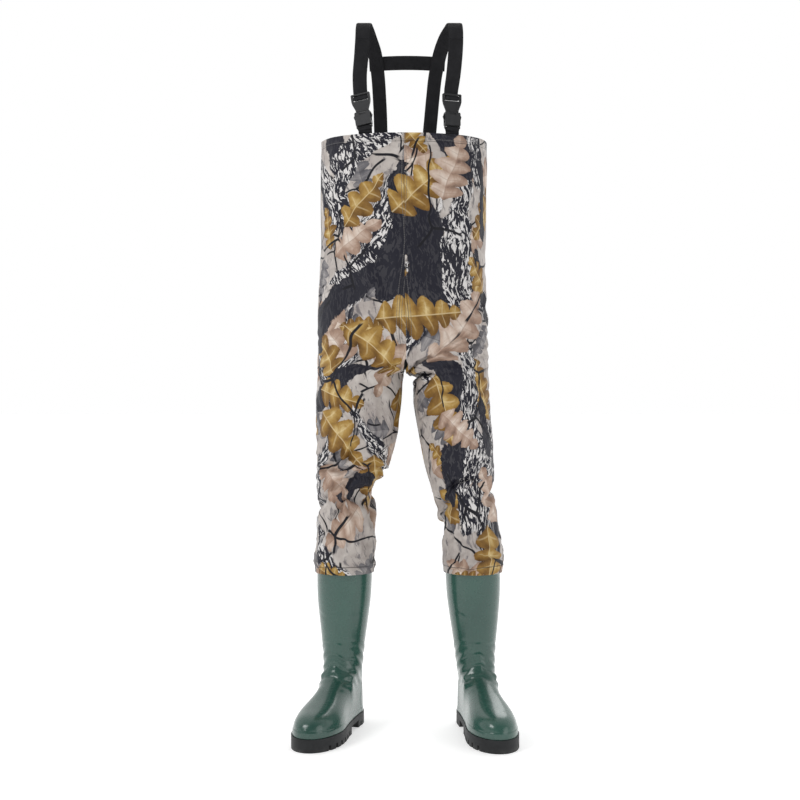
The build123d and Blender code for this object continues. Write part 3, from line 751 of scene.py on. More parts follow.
def fit_pieces():
    """Ties the bib panels to the bib; the leg pieces stay in place, unattached. Every piece hides the CAD nodes that
    it replaces.
    """
    for side, sign in SIDES.items():
        panel, upper, lower = (MADE[f"{side}_{part}_fabric"] for part in ("bib", "upper_leg", "lower_leg"))
        fit(panel, [f"{side}_bib_panel"], "camo_fabric", flat=(0.50, 0.48), held="hung",
            rests_on=[f"{side}_tab_webbing"], area=0.190)
        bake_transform(upper)
        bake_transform(lower)
        fit(upper, [f"{side}_hip_fabric", f"{side}_thigh_fabric"], "camo_fabric", None,
            flat=(0.60, 0.36), held="stretched", rests_on=[panel], area=0.149)
        fit(lower, [f"{side}_knee_fabric", f"{side}_shin_fabric"], "camo_fabric", None,
            flat=(0.56, 0.34), held="gathered", rests_on=[f"{side}_boot_shell"], area=0.121)


# ---- webbing, moulded and rubber finishes ----
def webbing_finish():
    """Black woven webbing, ribbed along its length; u crosses it and v runs along it, in metres."""
    f = Finish("black_webbing", Roughness=0.8, Specular_IOR_Level=0.15)
    u, v, _ = f.split(f.pattern())
    warp = (u * (2 * math.pi / 0.0017)).sin()
    weft = (v * (2 * math.pi / 0.0012) + (u * (1 / 0.0034)).wrap().rise(0.45, 0.55) * math.pi).sin()
    weave = abs(warp) * 0.6 + weft * warp * 0.4
    # a box and cross of thread over the sewn end
    edge = abs(abs(u) - 0.011)
    rows = abs(abs(v - 0.020) - 0.014)
    box = edge.least(rows).fall(0.0005, 0.0009) * (abs(u) < 0.0116) * (abs(v - 0.020) < 0.0146)
    cross = abs(abs(v - 0.020) - abs(u) * 1.27).fall(0.0006, 0.001) * (abs(u) < 0.011)
    thread = box.most(cross) * ((u + v) * (1 / 0.0032)).wrap().rise(0.2, 0.35)
    dust = f.noise(f.place(), 45.0, 3.0)
    colour = f.ramp(weave * 0.35 + dust * 0.6, (0.1, (0.004, 0.004, 0.005)), (0.8, (0.026, 0.026, 0.029)))
    colour = f.blend(thread, colour, (0.05, 0.05, 0.055))
    f.feed(Base_Color=colour, Roughness=dust * 0.2 + 0.62, Normal=f.bump(weave + thread * 2.2, 0.00045, 0.9))
    return f.material


def plastic_finish(name, dark, light):
    """Moulded acetal: fine spark texture and slight flow marks."""
    f = Finish(name, IOR=1.48, Specular_IOR_Level=0.35)
    at = f.place()
    spark, cloud = f.noise(at, 1500.0, 2.0, 0.7), f.noise(at, 35.0, 3.0)
    f.feed(Base_Color=f.ramp(cloud, (0.35, dark), (0.7, light)), Roughness=cloud * 0.22 + spark * 0.1 + 0.26,
           Normal=f.bump(spark + cloud * 0.5, 0.00012, 0.6))
    return f.material


def rubber_finish():
    """Black outsole rubber, greyed by floor dust low down."""
    f = Finish("sole_rubber", IOR=1.5, Specular_IOR_Level=0.25)
    at = f.place()
    height = f.split(at)[2]
    cloud, grain = f.noise(at, 26.0, 4.0, 0.6), f.noise(at, 700.0, 2.0, 0.6)
    dust = height.fall(0.001, 0.012) * cloud.rise(0.4, 0.7)
    share = dust * 0.4
    black = f.ramp(cloud, (0.3, (0.010, 0.011, 0.012)), (0.7, (0.022, 0.023, 0.025)))
    colour = f.blend(share, black, (0.09, 0.088, 0.084))
    f.feed(Base_Color=colour, Roughness=cloud * 0.25 + grain * 0.1 + 0.36, Normal=f.bump(grain + cloud, 0.0003, 0.6))
    return f.material


def boot_finish():
    """Glossy green PVC: slight colour clouds, mould flow, fine scuffs and dust near the sole."""
    f = Finish("boot_pvc", IOR=1.52, Coat_Roughness=0.12)
    shop = bpy.context.scene.waders_boots
    at = f.place()
    height = f.split(at)[2]
    cloud = f.noise(at, 7.0, 3.0, 0.5)
    flow = f.noise(at, 24.0, 3.0, 0.6, 0.6)
    scuff = f.noise(at, 130.0, 4.0, 0.7)
    colour = f.ramp(cloud * 0.7 + flow * 0.3, (0.32, shop.dark_green), (0.68, shop.light_green))
    worn = scuff.rise(0.62, 0.78) * height.fall(0.03, 0.16)
    colour = f.blend(worn * 0.16, colour, (0.22, 0.25, 0.22))
    f.feed(Base_Color=colour, Roughness=flow * 0.12 + scuff * 0.08 + worn * 0.2 + 0.17, Coat_Weight=0.35 - worn * 0.3,
           Normal=f.bump(flow * 1.4 + scuff * 0.12, 0.0006, 0.22))
    return f.material


def lining_finish(name, dark, light, scale):
    """Knitted nylon or foam inside the boot."""
    f = Finish(name, Roughness=0.9, Sheen_Weight=0.3)
    at = f.place()
    x, y, z = f.split(at)
    knit = (z * scale).sin() * ((x + y) * scale).sin()
    cloud = f.noise(at, 30.0, 3.0)
    f.feed(Base_Color=f.ramp(cloud + knit * 0.12, (0.3, dark), (0.7, light)), Normal=f.bump(knit, 0.0004, 0.7))
    return f.material


def tape_finish():
    """Heat-sealed tape: matt film with a fine cross grain."""
    f = Finish("seam_tape", IOR=1.45)
    u, v, _ = f.split(f.pattern())
    cloud = f.noise(f.place(), 40.0, 3.0)
    grain = (u * 6000).sin() * (v * 6000).sin()
    f.feed(Base_Color=f.ramp(cloud, (0.35, (0.035, 0.038, 0.040)), (0.65, (0.062, 0.066, 0.068))),
           Roughness=cloud * 0.25 + 0.3, Normal=f.bump(grain + cloud, 0.0002, 0.5))
    return f.material


# ---- boots ----
BOOTS = {"right": (-0.127, -17.0, 0.010), "left": (0.150, 10.0, -0.027)}
ANKLE_Y, TOE_Y, FOOT_LENGTH, FEATHER_Z, BOOT_TOP_Z = 0.040, -0.221, 0.283, 0.026, 0.352
FOOT_WIDTH = [(0, 0.036), (0.040, 0.043), (0.085, 0.0475), (0.150, 0.039), (0.215, 0.034), (0.283, 0.033)]
FOOT_HEIGHT = [(0, 0.040), (0.008, 0.053), (0.025, 0.064), (0.060, 0.073), (0.100, 0.084), (0.135, 0.098),
               (0.158, 0.114), (0.172, 0.140)]
SHAFT = [(0.096, -0.060, 0.050, 0.0385), (0.142, -0.049, 0.048, 0.0405), (0.186, -0.051, 0.053, 0.045),
         (0.228, -0.055, 0.058, 0.0505), (0.273, -0.059, 0.064, 0.055), (BOOT_TOP_Z, -0.062, 0.068, 0.058)]
TOE_ROUND, HEEL_ROUND, FOOT_CROWN = 0.062, 0.048, 2.6
# height, depth and bow of the creases of wear over the instep and shaft
CREASES = ((0.118, 0.0016, 0.5), (0.136, 0.0020, 0.45), (0.156, 0.0014, 0.35), (0.182, 0.0010, 0.3), (0.232, 0.0007, -0.2))
BOOT_WALL, BOOT_LINING = 0.003, 0.001


def foot_half_width(u, z, inset):
    width = ramp(FOOT_WIDTH, u) - inset
    if u < TOE_ROUND:
        width *= max(0.0, 1 - ((TOE_ROUND - u) / TOE_ROUND) ** 2.3) ** (1 / 2.3)
    if u > FOOT_LENGTH - HEEL_ROUND:
        width *= max(0.0, 1 - ((u - FOOT_LENGTH + HEEL_ROUND) / HEEL_ROUND) ** 2.2) ** (1 / 2.2)
    roof = ramp(FOOT_HEIGHT, u) - inset if u < FOOT_HEIGHT[-1][0] else 2.0
    rise = max(0.0, (z - FEATHER_Z) / max(roof - FEATHER_Z, 1e-6))
    return width * max(0.0, 1 - min(rise, 1.0) ** FOOT_CROWN) ** (1 / FOOT_CROWN)


def toe_reach(z, inset):
    low, high = 0.0, FOOT_HEIGHT[-1][0]
    for _ in range(24):
        mid = (low + high) / 2
        low, high = (low, mid) if ramp(FOOT_HEIGHT, mid) - inset > z else (mid, high)
    return high


def boot_outline(z, inset, lean, columns):
    """Points round the boot at one height, toes towards -Y."""
    reach = toe_reach(z, inset) if z > FOOT_HEIGHT[0][1] - inset else 0.0
    shaft = [ramp([(row[0], row[k]) for row in SHAFT], z) for k in (1, 2, 3)]
    mix = smooth(0.092, 0.132, z)
    foot_front = TOE_Y + reach + inset
    foot_back = TOE_Y + FOOT_LENGTH - inset - 0.10 * max(0.0, z - 0.055)
    front, back = mixed(foot_front, shaft[0] + inset, mix), mixed(foot_back, shaft[1] - inset, mix)
    points = []
    for k in range(columns):
        turn = 2 * math.pi * (k + 0.5) / columns
        share = (1 - math.cos(turn)) / 2
        foot_half = foot_half_width(inset + reach + share * (FOOT_LENGTH - 2 * inset - reach), z, inset)
        half = mixed(foot_half, (shaft[2] - inset) * abs(math.sin(turn)), mix)
        points.append((math.copysign(half, math.sin(turn)) + lean * max(0.0, z - 0.09), mixed(front, back, share), z))
    return points


def boot_relief(p, lean):
    """How far the outer face stands out: rand, counter, mould line and the creases of wear."""
    x, y, z = p[0] - lean * max(0.0, p[2] - 0.09), p[1], p[2]
    out = 0.0010 * (1 - smooth(0.0375, 0.0392, z + 0.004 * smooth(-0.12, 0.02, y)))
    counter = smooth(0.012, 0.016, y - 0.25 * abs(z - 0.055)) * (1 - smooth(0.088, 0.093, z)) * 0.0008
    out += counter
    out += 0.0005 * math.exp(-((x / 0.0012) ** 2)) * smooth(0.045, 0.06, z)
    front = smooth(-0.01, -0.045, y)
    for height, depth, bow in CREASES:
        off = z - height + bow * abs(x) - 0.004 * math.sin(x * 90 + height * 300)
        out -= depth * front * math.exp(-((off / 0.0035) ** 2))
        out += 0.5 * depth * front * math.exp(-(((off - 0.0065) / 0.004) ** 2))
    side = smooth(0.018, 0.034, abs(x)) * (1 - smooth(0.16, 0.19, z)) * smooth(0.08, 0.1, z)
    out += 0.0008 * side * math.sin((z * 1.0 + y * 0.8) * 260)
    out += 0.0006 * (noise.noise(Vector((x * 22, y * 22, z * 14))))
    glued = smooth(0.306, 0.320, z)  # plain and sunk a little under the leg's glued end
    return out * (1 - glued) * 0.9 - 0.0004 * glued


def shell_rows(side, inset, low, high, columns, detail):
    """Rings up one boot, in place on its foot; detail adds the relief of the outer face."""
    x, turn, lean = BOOTS[side]
    levels = [low]
    while levels[-1] < high:
        z = levels[-1]
        levels.append(min(z + (0.0012 if z < 0.1 else 0.0022 if z < 0.2 else 0.004) * (1 if detail else 3), high))
    grid = np.array([boot_outline(z, inset, lean, columns) for z in levels])
    for _ in range(3):
        around = (np.roll(grid, 1, 1) + np.roll(grid, -1, 1)) / 2
        along = grid.copy()
        along[1:-1] = (grid[2:] + grid[:-2]) / 2
        grid[1:-1] = grid[1:-1] * 0.5 + (around[1:-1] + along[1:-1]) * 0.25
    if detail:
        du = np.roll(grid, -1, 1) - np.roll(grid, 1, 1)
        dv = np.gradient(grid, axis=0)
        normal = np.cross(du, dv)
        normal /= np.linalg.norm(normal, axis=2, keepdims=True) + 1e-12
        middle = grid[len(levels) // 2, :, :2]
        if (normal[len(levels) // 2, :, :2] * (middle - middle.mean(0))).sum() < 0:
            normal = -normal
        relief = np.array([[boot_relief(p, lean) for p in row] for row in grid])
        grid = grid + normal * relief[:, :, None]
    place = Matrix.Translation((x, ANKLE_Y, 0)) @ Matrix.Rotation(math.radians(turn), 4, "Z")
    c, s = place[0][0], place[1][0]
    out = grid.copy()
    out[:, :, 0] = x + grid[:, :, 0] * c - grid[:, :, 1] * s
    out[:, :, 1] = ANKLE_Y + grid[:, :, 0] * s + grid[:, :, 1] * c
    return out


def ring_quads(levels, columns, base=0):
    """The quads between closed rings of vertices, counted from base."""
    for low in range(base, base + (levels - 1) * columns, columns):
        for k in range(columns):
            n = (k + 1) % columns
            yield low + k, low + n, low + columns + n, low + columns + k


def shell(name, outer, inner, material):
    """A closed shell between two stacks of rings, open at the top and closed at the foot."""
    columns = outer.shape[1]
    verts = list(outer.reshape(-1, 3)) + list(inner.reshape(-1, 3))
    start = outer.shape[0] * columns
    faces = []
    for base, count, flip in ((0, outer.shape[0], True), (start, inner.shape[0], False)):
        faces += [quad[::-1] if flip else quad for quad in ring_quads(count, columns, base)]
        floor = [base + k for k in range(columns)]
        faces.append(floor if flip else floor[::-1])
    top_a, top_b = (outer.shape[0] - 1) * columns, start + (inner.shape[0] - 1) * columns
    for k in range(columns):
        n = (k + 1) % columns
        faces.append((top_a + n, top_a + k, top_b + k, top_b + n))
    return new_object(name, verts, faces, None, [material])


def build_boots():
    """Each boot's moulded upper, its lining and its insole, and the finishes of its sole and glued band."""
    columns = bpy.context.scene.waders_boots.columns
    wall, lining = BOOT_WALL, BOOT_LINING
    pvc, knit = boot_finish(), lining_finish("boot_lining", (0.20, 0.19, 0.17), (0.30, 0.29, 0.27), 2600)
    foam = lining_finish("insole_foam", (0.09, 0.095, 0.10), (0.14, 0.145, 0.15), 1500)
    rubber = rubber_finish()
    for side in SIDES:
        outer = shell_rows(side, 0.0, FEATHER_Z, BOOT_TOP_Z, columns, True)
        inner = shell_rows(side, wall, FEATHER_Z + wall, BOOT_TOP_Z, columns, False)
        upper = shell(f"{side}_boot_shell", outer, inner, pvc)
        first = shell_rows(side, wall + 0.0003, FEATHER_Z + wall + 0.0003, BOOT_TOP_Z - 0.004, columns // 2, False)
        second = shell_rows(side, wall + lining, FEATHER_Z + wall + lining, BOOT_TOP_Z - 0.004, columns // 2, False)
        sock = shell(f"{side}_boot_sock", first, second, knit)
        low = FEATHER_Z + wall + lining + 0.0006
        ring = shell_rows(side, wall + lining + 0.0035, FEATHER_Z + 0.002, FEATHER_Z + 0.004, columns // 2, False)[0]
        heights = (0, 0.001, 0.0025, 0.0035)
        stack = np.array([np.column_stack([ring[:, :2], np.full(len(ring), low + h)]) for h in heights])
        middle = stack[0].mean(0)
        shrink = np.array([0.985, 1.0, 1.0, 0.985])[:, None, None]
        stack[:, :, :2] = middle[:2] + (stack[:, :, :2] - middle[:2]) * shrink
        insole = slab(f"{side}_insole_pad", stack, foam)
        for piece, node, slot in (
            (upper, "boot_upper", "boot_pvc"),
            (sock, "boot_lining", "boot_lining"),
            (insole, "boot_insole", "insole_foam"),
        ):
            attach(piece, f"{side}_lower_leg")
            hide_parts(f"{side}_{node}")
        for node, material in (("boot_sole", rubber), ("boot_joint_band", MADE["backing"])):
            dress(f"{side}_{node}", material)


def slab(name, stack, material):
    """A closed solid between the first and the last of a stack of rings."""
    levels, columns = stack.shape[:2]
    faces = [list(range(columns)), [(levels - 1) * columns + k for k in range(columns)][::-1]]
    faces += [(a, d, c, b) for a, b, c, d in ring_quads(levels, columns)]
    return new_object(name, stack.reshape(-1, 3), faces, None, [material])


def dress(node, material):
    """Gives a shown CAD node its finish."""
    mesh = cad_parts[node].data
    mesh.materials.clear()
    mesh.materials.append(material)


# ---- straps and buckles ----
WEBBING_WIDTH, WEBBING = 0.030, 0.0018
BUCKLES = {"right": (-0.084, -0.0495, 1.262, -9.0, 3.0, -16.0), "left": (0.097, -0.0425, 1.262, 0.5, 3.0, 18.0)}
FRONT_STRAPS = {
    "right": [(-0.090, -0.040, 1.340, -12), (-0.087, -0.033, 1.380, -6), (-0.085, -0.022, 1.417, 0)],
    "left": [(0.100, -0.035, 1.340, 12), (0.104, -0.029, 1.380, 6), (0.106, -0.020, 1.417, 0)],
}
BACK_STRAPS = {
    "right": [(-0.0845, -0.005, 1.445, 0), (-0.083, 0.025, 1.463, 0), (-0.079, 0.060, 1.463, 2),
              (-0.072, 0.092, 1.449, 6), (-0.062, 0.118, 1.422, 10), (-0.056, 0.135, 1.381, 14),
              (-0.053, 0.145, 1.337, 14), (-0.051, 0.1515, 1.294, 13),
              (-0.0495, 0.1562, 1.230, 12), (-0.0492, 0.1573, 1.210, 12), (-0.049, 0.1592, 1.175, 12)],
    "left": [(0.106, -0.004, 1.445, 0), (0.1045, 0.025, 1.463, 0), (0.099, 0.060, 1.463, -2),
             (0.088, 0.092, 1.449, -6), (0.077, 0.118, 1.422, -10), (0.068, 0.135, 1.381, -14),
             (0.063, 0.145, 1.337, -14), (0.059, 0.1505, 1.294, -13),
             (0.053, 0.1558, 1.230, -12), (0.051, 0.1570, 1.210, -12), (0.049, 0.1592, 1.175, -12)],
}
BRIDGE_Z, BRIDGE_ARCH = 1.407, 0.004
# heights of the webbing bars below or above the buckle's middle, and the turns of webbing round them
LADDER_BAR_Z, LADDER_REACH_Y, LADDER_REACH_Z = 0.0235 + 0.0043 + 0.0016, 0.00255, 0.00165
SOCKET_BAR_Z, SOCKET_REACH_Y, SOCKET_REACH_Z = -0.0332, 0.00245, 0.00195
TURN_RADIUS, TAB_WIDTH, PLY = 0.0012, 0.028, 0.00095


def buckle_matrix(side):
    """Where a buckle's own frame stands: its middle, turned to the side, tilted and leaned back."""
    x, y, z, tilt, lean, turn = BUCKLES[side]
    place = Matrix.Translation((x, y, z)) @ Matrix.Rotation(math.radians(turn), 4, "Z")
    return place @ Matrix.Rotation(math.radians(tilt), 4, "Y") @ Matrix.Rotation(math.radians(-lean), 4, "X")


def webbing(name, path, material, width=WEBBING_WIDTH, thickness=WEBBING, sewn_at=None):
    """A webbing along a path of (point, across); sewn_at is the distance along it that reads as the sewn end."""
    across_count = 12
    verts, faces, flats = [], [], []
    lengths = [0.0]
    for (a, _), (b, _) in zip(path, path[1:]):
        lengths.append(lengths[-1] + (b - a).length)
    section = []
    for face in (1, -1):
        for k in range(across_count + 1):
            u = (k / across_count * 2 - 1) * face
            edge = max(0.0, (abs(u) - 0.93) / 0.07)
            swell = math.sqrt(max(0.0, 1 - edge**2) * 0.9 + 0.1 * (1 - edge))
            section.append((u * width / 2, face * thickness / 2 * swell))
    ring = len(section)
    for k, (point, across) in enumerate(path):
        along = (path[min(k + 1, len(path) - 1)][0] - path[max(k - 1, 0)][0]).normalized()
        across = (across - along * across.dot(along)).normalized()
        out = along.cross(across)
        for u, h in section:
            ripple = 0.00012 * math.sin(lengths[k] * 900)
            verts.append(point + across * u + out * (h + math.copysign(ripple, h)))
    for k in range(len(path) - 1):
        for j in range(ring):
            n = (j + 1) % ring
            faces.append((k * ring + j, k * ring + n, (k + 1) * ring + n, (k + 1) * ring + j))
            for row, col in ((k, j), (k, n), (k + 1, n), (k + 1, j)):
                flats.append((section[col][0], 1.0 + lengths[row] if sewn_at is None else abs(lengths[row] - sewn_at)))
    for base, flip in ((0, True), ((len(path) - 1) * ring, False)):
        cap = [base + j for j in range(ring)]
        faces.append(cap[::-1] if flip else cap)
        flats += [(0.0, 1.0)] * ring
    return new_object(name, verts, faces, flats, [material]), lengths[-1]


def curve_path(rows, first, last, steps=8):
    """Points along rows of (x, y, z, turn), with the direction across the webbing."""
    path = []
    for k in range(first * steps, last * steps + 1):
        x, y, z, turn = (ramp([(j, row[c]) for j, row in enumerate(rows)], k / steps) for c in range(4))
        turn = math.radians(turn)
        path.append((Vector((x, y, z)), Vector((math.cos(turn), math.sin(turn), 0))))
    return path


def turn_path(matrix, bar_z, reach_y, reach_z, width_axis, steps=6):
    """A closed turn of webbing round a bar of the buckle."""
    path = []
    for quarter in range(4):
        for k in range(steps):
            angle = math.pi / 2 * (quarter + k / steps)
            c, s = math.cos(angle), math.sin(angle)
            y = math.copysign(reach_y, (1, -1, -1, 1)[quarter]) + TURN_RADIUS * c
            z = math.copysign(reach_z, (1, 1, -1, -1)[quarter]) + TURN_RADIUS * s
            path.append((matrix @ Vector((0, y, bar_z + z)), width_axis))
    path.append(path[0])
    return path


def build_straps():
    """The braces, the turns of webbing at the buckles, the tabs and the bridge, and the buckles' finishes."""
    black = webbing_finish()
    socket = plastic_finish("socket_plastic", (0.012, 0.0122, 0.0135), (0.022, 0.0225, 0.025))
    plug = plastic_finish("plug_plastic", (0.007, 0.0073, 0.0085), (0.014, 0.0145, 0.016))
    ends = {}
    for side in SIDES:
        matrix = buckle_matrix(side)
        axis = (matrix.to_3x3() @ Vector((1, 0, 0))).normalized()
        turn = BUCKLES[side][5]
        feet = [(*(matrix @ Vector((0, 0.0037, z))), turn) for z in (0.0343, 0.0465)]
        rows = feet + FRONT_STRAPS[side]
        join = len(rows) - 1
        rows = rows + BACK_STRAPS[side]
        front, length = webbing(f"{side}_front_webbing", curve_path(rows, 0, join), black)
        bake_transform(front)
        fit(front, [f"{side}_front_strap"], "webbing", None,
            flat=(WEBBING_WIDTH, length), held="stretched", rests_on=[f"{side}_loop_webbing"])
        path = curve_path(rows, join, len(rows) - 1)
        total = sum((b[0] - a[0]).length for a, b in zip(path, path[1:]))
        back, length = webbing(f"{side}_shoulder_webbing", path, black, sewn_at=total)
        fit(back, [f"{side}_shoulder_strap"], "webbing",
            flat=(WEBBING_WIDTH, length), held="stretched", rests_on=[f"{side}_back_patch"])
        # the turn round the plug's ladder bar, and the doubled tab that holds the socket
        path = turn_path(matrix, LADDER_BAR_Z, LADDER_REACH_Y, LADDER_REACH_Z, axis)
        loop, length = webbing(f"{side}_loop_webbing", path, black)
        fit(loop, [f"{side}_strap_loop"], "webbing", f"{side}_plug",
            flat=(WEBBING_WIDTH, length), held="folded", rests_on=[f"{side}_buckle_plug"])
        tab_rows = [(*(matrix @ Vector((0, 0, -0.0387))), turn), (*(matrix @ Vector((0, 0, -0.0425))), turn)]
        foot_x = tab_rows[-1][0]
        for z, depth in ((RIM_Z - 0.001, 0.007), (RIM_Z - 0.018, 0.007), (1.175, 0.0066)):
            hit = inner_face(foot_x, z, -1)
            tab_rows.append((foot_x, hit.y + depth + 0.0008, z, turn * 1.12))
        tail = curve_path(tab_rows, 0, len(tab_rows) - 1)
        ply = []
        for point, across in tail:
            away = Vector((0, 0, -1)).cross(across).normalized()
            ply.append((point + away * PLY, point - away * PLY, across))
        outside = [(p, a) for p, _, a in reversed(ply)]
        inside = [(q, a) for _, q, a in ply]
        # up behind the bar, over it and down in front, round its square corners
        arc = [(SOCKET_REACH_Y + TURN_RADIUS * math.cos(t), SOCKET_REACH_Z + TURN_RADIUS * math.sin(t))
               for t in map(math.radians, (0, 30, 60, 90))]
        bend = [(0.00365, -SOCKET_REACH_Z), *arc, *((-y, z) for y, z in reversed(arc)), (-0.00365, -SOCKET_REACH_Z)]
        bend = [(matrix @ Vector((0, y, SOCKET_BAR_Z + z)), axis) for y, z in bend]
        if (outside[-1][0] - bend[0][0]).length > (outside[-1][0] - bend[-1][0]).length:
            bend.reverse()
        path = outside + bend + inside
        tab, length = webbing(f"{side}_tab_webbing", path, black, width=TAB_WIDTH, sewn_at=0.0)
        fit(tab, [f"{side}_front_tab"], "webbing",
            flat=(TAB_WIDTH, length), held="folded", rests_on=[f"{side}_buckle_socket"])
        dress(f"{side}_buckle_socket", socket)
        for node in ("buckle_plug", "inner_prong", "outer_prong"):
            dress(f"{side}_{node}", plug)
        upper, lower = BACK_STRAPS[side][4:6]
        share = (BRIDGE_Z - upper[2]) / (lower[2] - upper[2])
        ends[side] = [mixed(upper[c], lower[c], share) for c in range(2)]
    path = []
    for k in range(41):
        share = k / 40
        bulge = math.sin(math.pi * share)
        x = mixed(ends["right"][0] - 0.015, ends["left"][0] + 0.015, share)
        y = mixed(ends["right"][1], ends["left"][1], share) + 0.0064 + 0.0025 * bulge
        path.append((Vector((x, y, BRIDGE_Z + BRIDGE_ARCH * (bulge - 0.5))), Vector((0, -0.36, 1))))
    bridge, length = webbing("bridge_webbing", path, black)
    fit(bridge, ["back_bridge_strap"], "webbing", flat=(WEBBING_WIDTH, length), held="stretched",
        rests_on=["right_shoulder_webbing", "left_shoulder_webbing"])


# ---- hem, tapes and patches on the inside ----
PATCH_FOOT_Z, PATCH_HEIGHT = 1.147, 0.044


def inner_face(x, z, facing):
    """Where a level ray from the middle of the body meets the inside of the garment."""
    hit = MADE["tree"].ray_cast(Vector((x, BODY_Y, z)), Vector((0, facing, 0)))[0]
    if hit is None:
        raise RuntimeError(f"no cloth in front of {x}, {z}")
    return hit


def lining_strip(name, grid, thickness, flats, material, closed=False):
    """A thin sheet from a grid of points already on its outer face; it thickens towards the body."""
    rows, columns = len(grid), len(grid[0])
    centre = Vector((0, BODY_Y, 0))
    verts = [p for row in grid for p in row]
    inward = []
    for i, row in enumerate(grid):
        for k, p in enumerate(row):
            before, after = (k - 1) % columns, (k + 1) % columns
            if not closed:
                before, after = max(k - 1, 0), min(k + 1, columns - 1)
            n = (row[after] - row[before]).cross(grid[min(i + 1, rows - 1)][k] - grid[max(i - 1, 0)][k]).normalized()
            if n.dot((centre - p) * Vector((1, 1, 0))) < 0:
                n.negate()
            inward.append(p + n * thickness)
    verts += inward
    count = rows * columns
    faces, uvs = [], []
    for i in range(rows - 1):
        for k in range(columns if closed else columns - 1):
            n = (k + 1) % columns
            quad = [(i, k), (i, n), (i + 1, n), (i + 1, k)]
            a, b, c, d = (i * columns + k, i * columns + n, (i + 1) * columns + n, (i + 1) * columns + k)
            faces += [(a, b, c, d), (d + count, c + count, b + count, a + count)]
            uvs += [flats(*q) for q in quad] + [flats(*q) for q in reversed(quad)]
    edges = open_edges([f for f in faces if max(f) < count])
    faces += [(b, a, a + count, b + count) for a, b in edges]
    uvs += [(0.0, 0.0)] * (4 * len(edges))
    return new_object(name, verts, faces, uvs, [material])


def build_inside():
    """The tapes on the centre seam, the patches behind the braces and the turned hem at the rim."""
    tape = tape_finish()
    gap = bpy.context.scene.waders_fabric.thickness + 0.0004
    low, high = RIM_Z - 0.362, RIM_Z - 0.022
    for facing, name, node in ((-1, "front_tape_strip", "front_seam_tape"), (1, "back_tape_strip", "back_seam_tape")):
        grid = []
        for i in range(69):
            z = mixed(low, high, i / 68)
            inward = Vector((0, facing * gap, 0))
            grid.append([inner_face(x, z, facing) - inward for x in np.linspace(-0.009, 0.009, 7)])
        strip = lining_strip(name, grid, 0.0005, lambda i, k: (k * 0.003, i * 0.005), tape)
        finish_inside(strip, node, "seam_tape", (0.018, high - low), "stretched")
    for side in SIDES:
        x = BACK_STRAPS[side][-1][0]
        grid = []
        for i in range(17):
            z = PATCH_FOOT_Z + i * PATCH_HEIGHT / 16
            grid.append([inner_face(x + dx, z, 1) - Vector((0, gap, 0)) for dx in np.linspace(-0.023, 0.023, 15)])
        patch = lining_strip(f"{side}_back_patch", grid, 0.0010, lambda i, k: (k * 0.0033, i * 0.0028), tape)
        finish_inside(patch, f"{side}_strap_patch", "seam_tape", (0.046, PATCH_HEIGHT), "laid")
    grid = []
    for i in range(7):
        z = mixed(RIM_Z - 0.018, RIM_Z - 0.0008, i / 6)
        row = []
        for k in range(160):
            angle = 2 * math.pi * k / 160
            way = Vector((math.cos(angle), math.sin(angle), 0))
            hit = MADE["tree"].ray_cast(Vector((0, BODY_Y, z)), way)[0]
            row.append(hit - way * gap)
        grid.append(row)
    hem = lining_strip("rim_hem", grid, 0.0009, lambda i, k: (k * 0.006, i * 0.003), MADE["backing"], closed=True)
    finish_inside(hem, "top_hem", "camo_fabric", (0.94, 0.0172), "folded")


def finish_inside(piece, node, slot, flat, held):
    fit(piece, [node], slot, flat=flat, held=held, rests_on=["right_bib_fabric", "left_bib_fabric"])


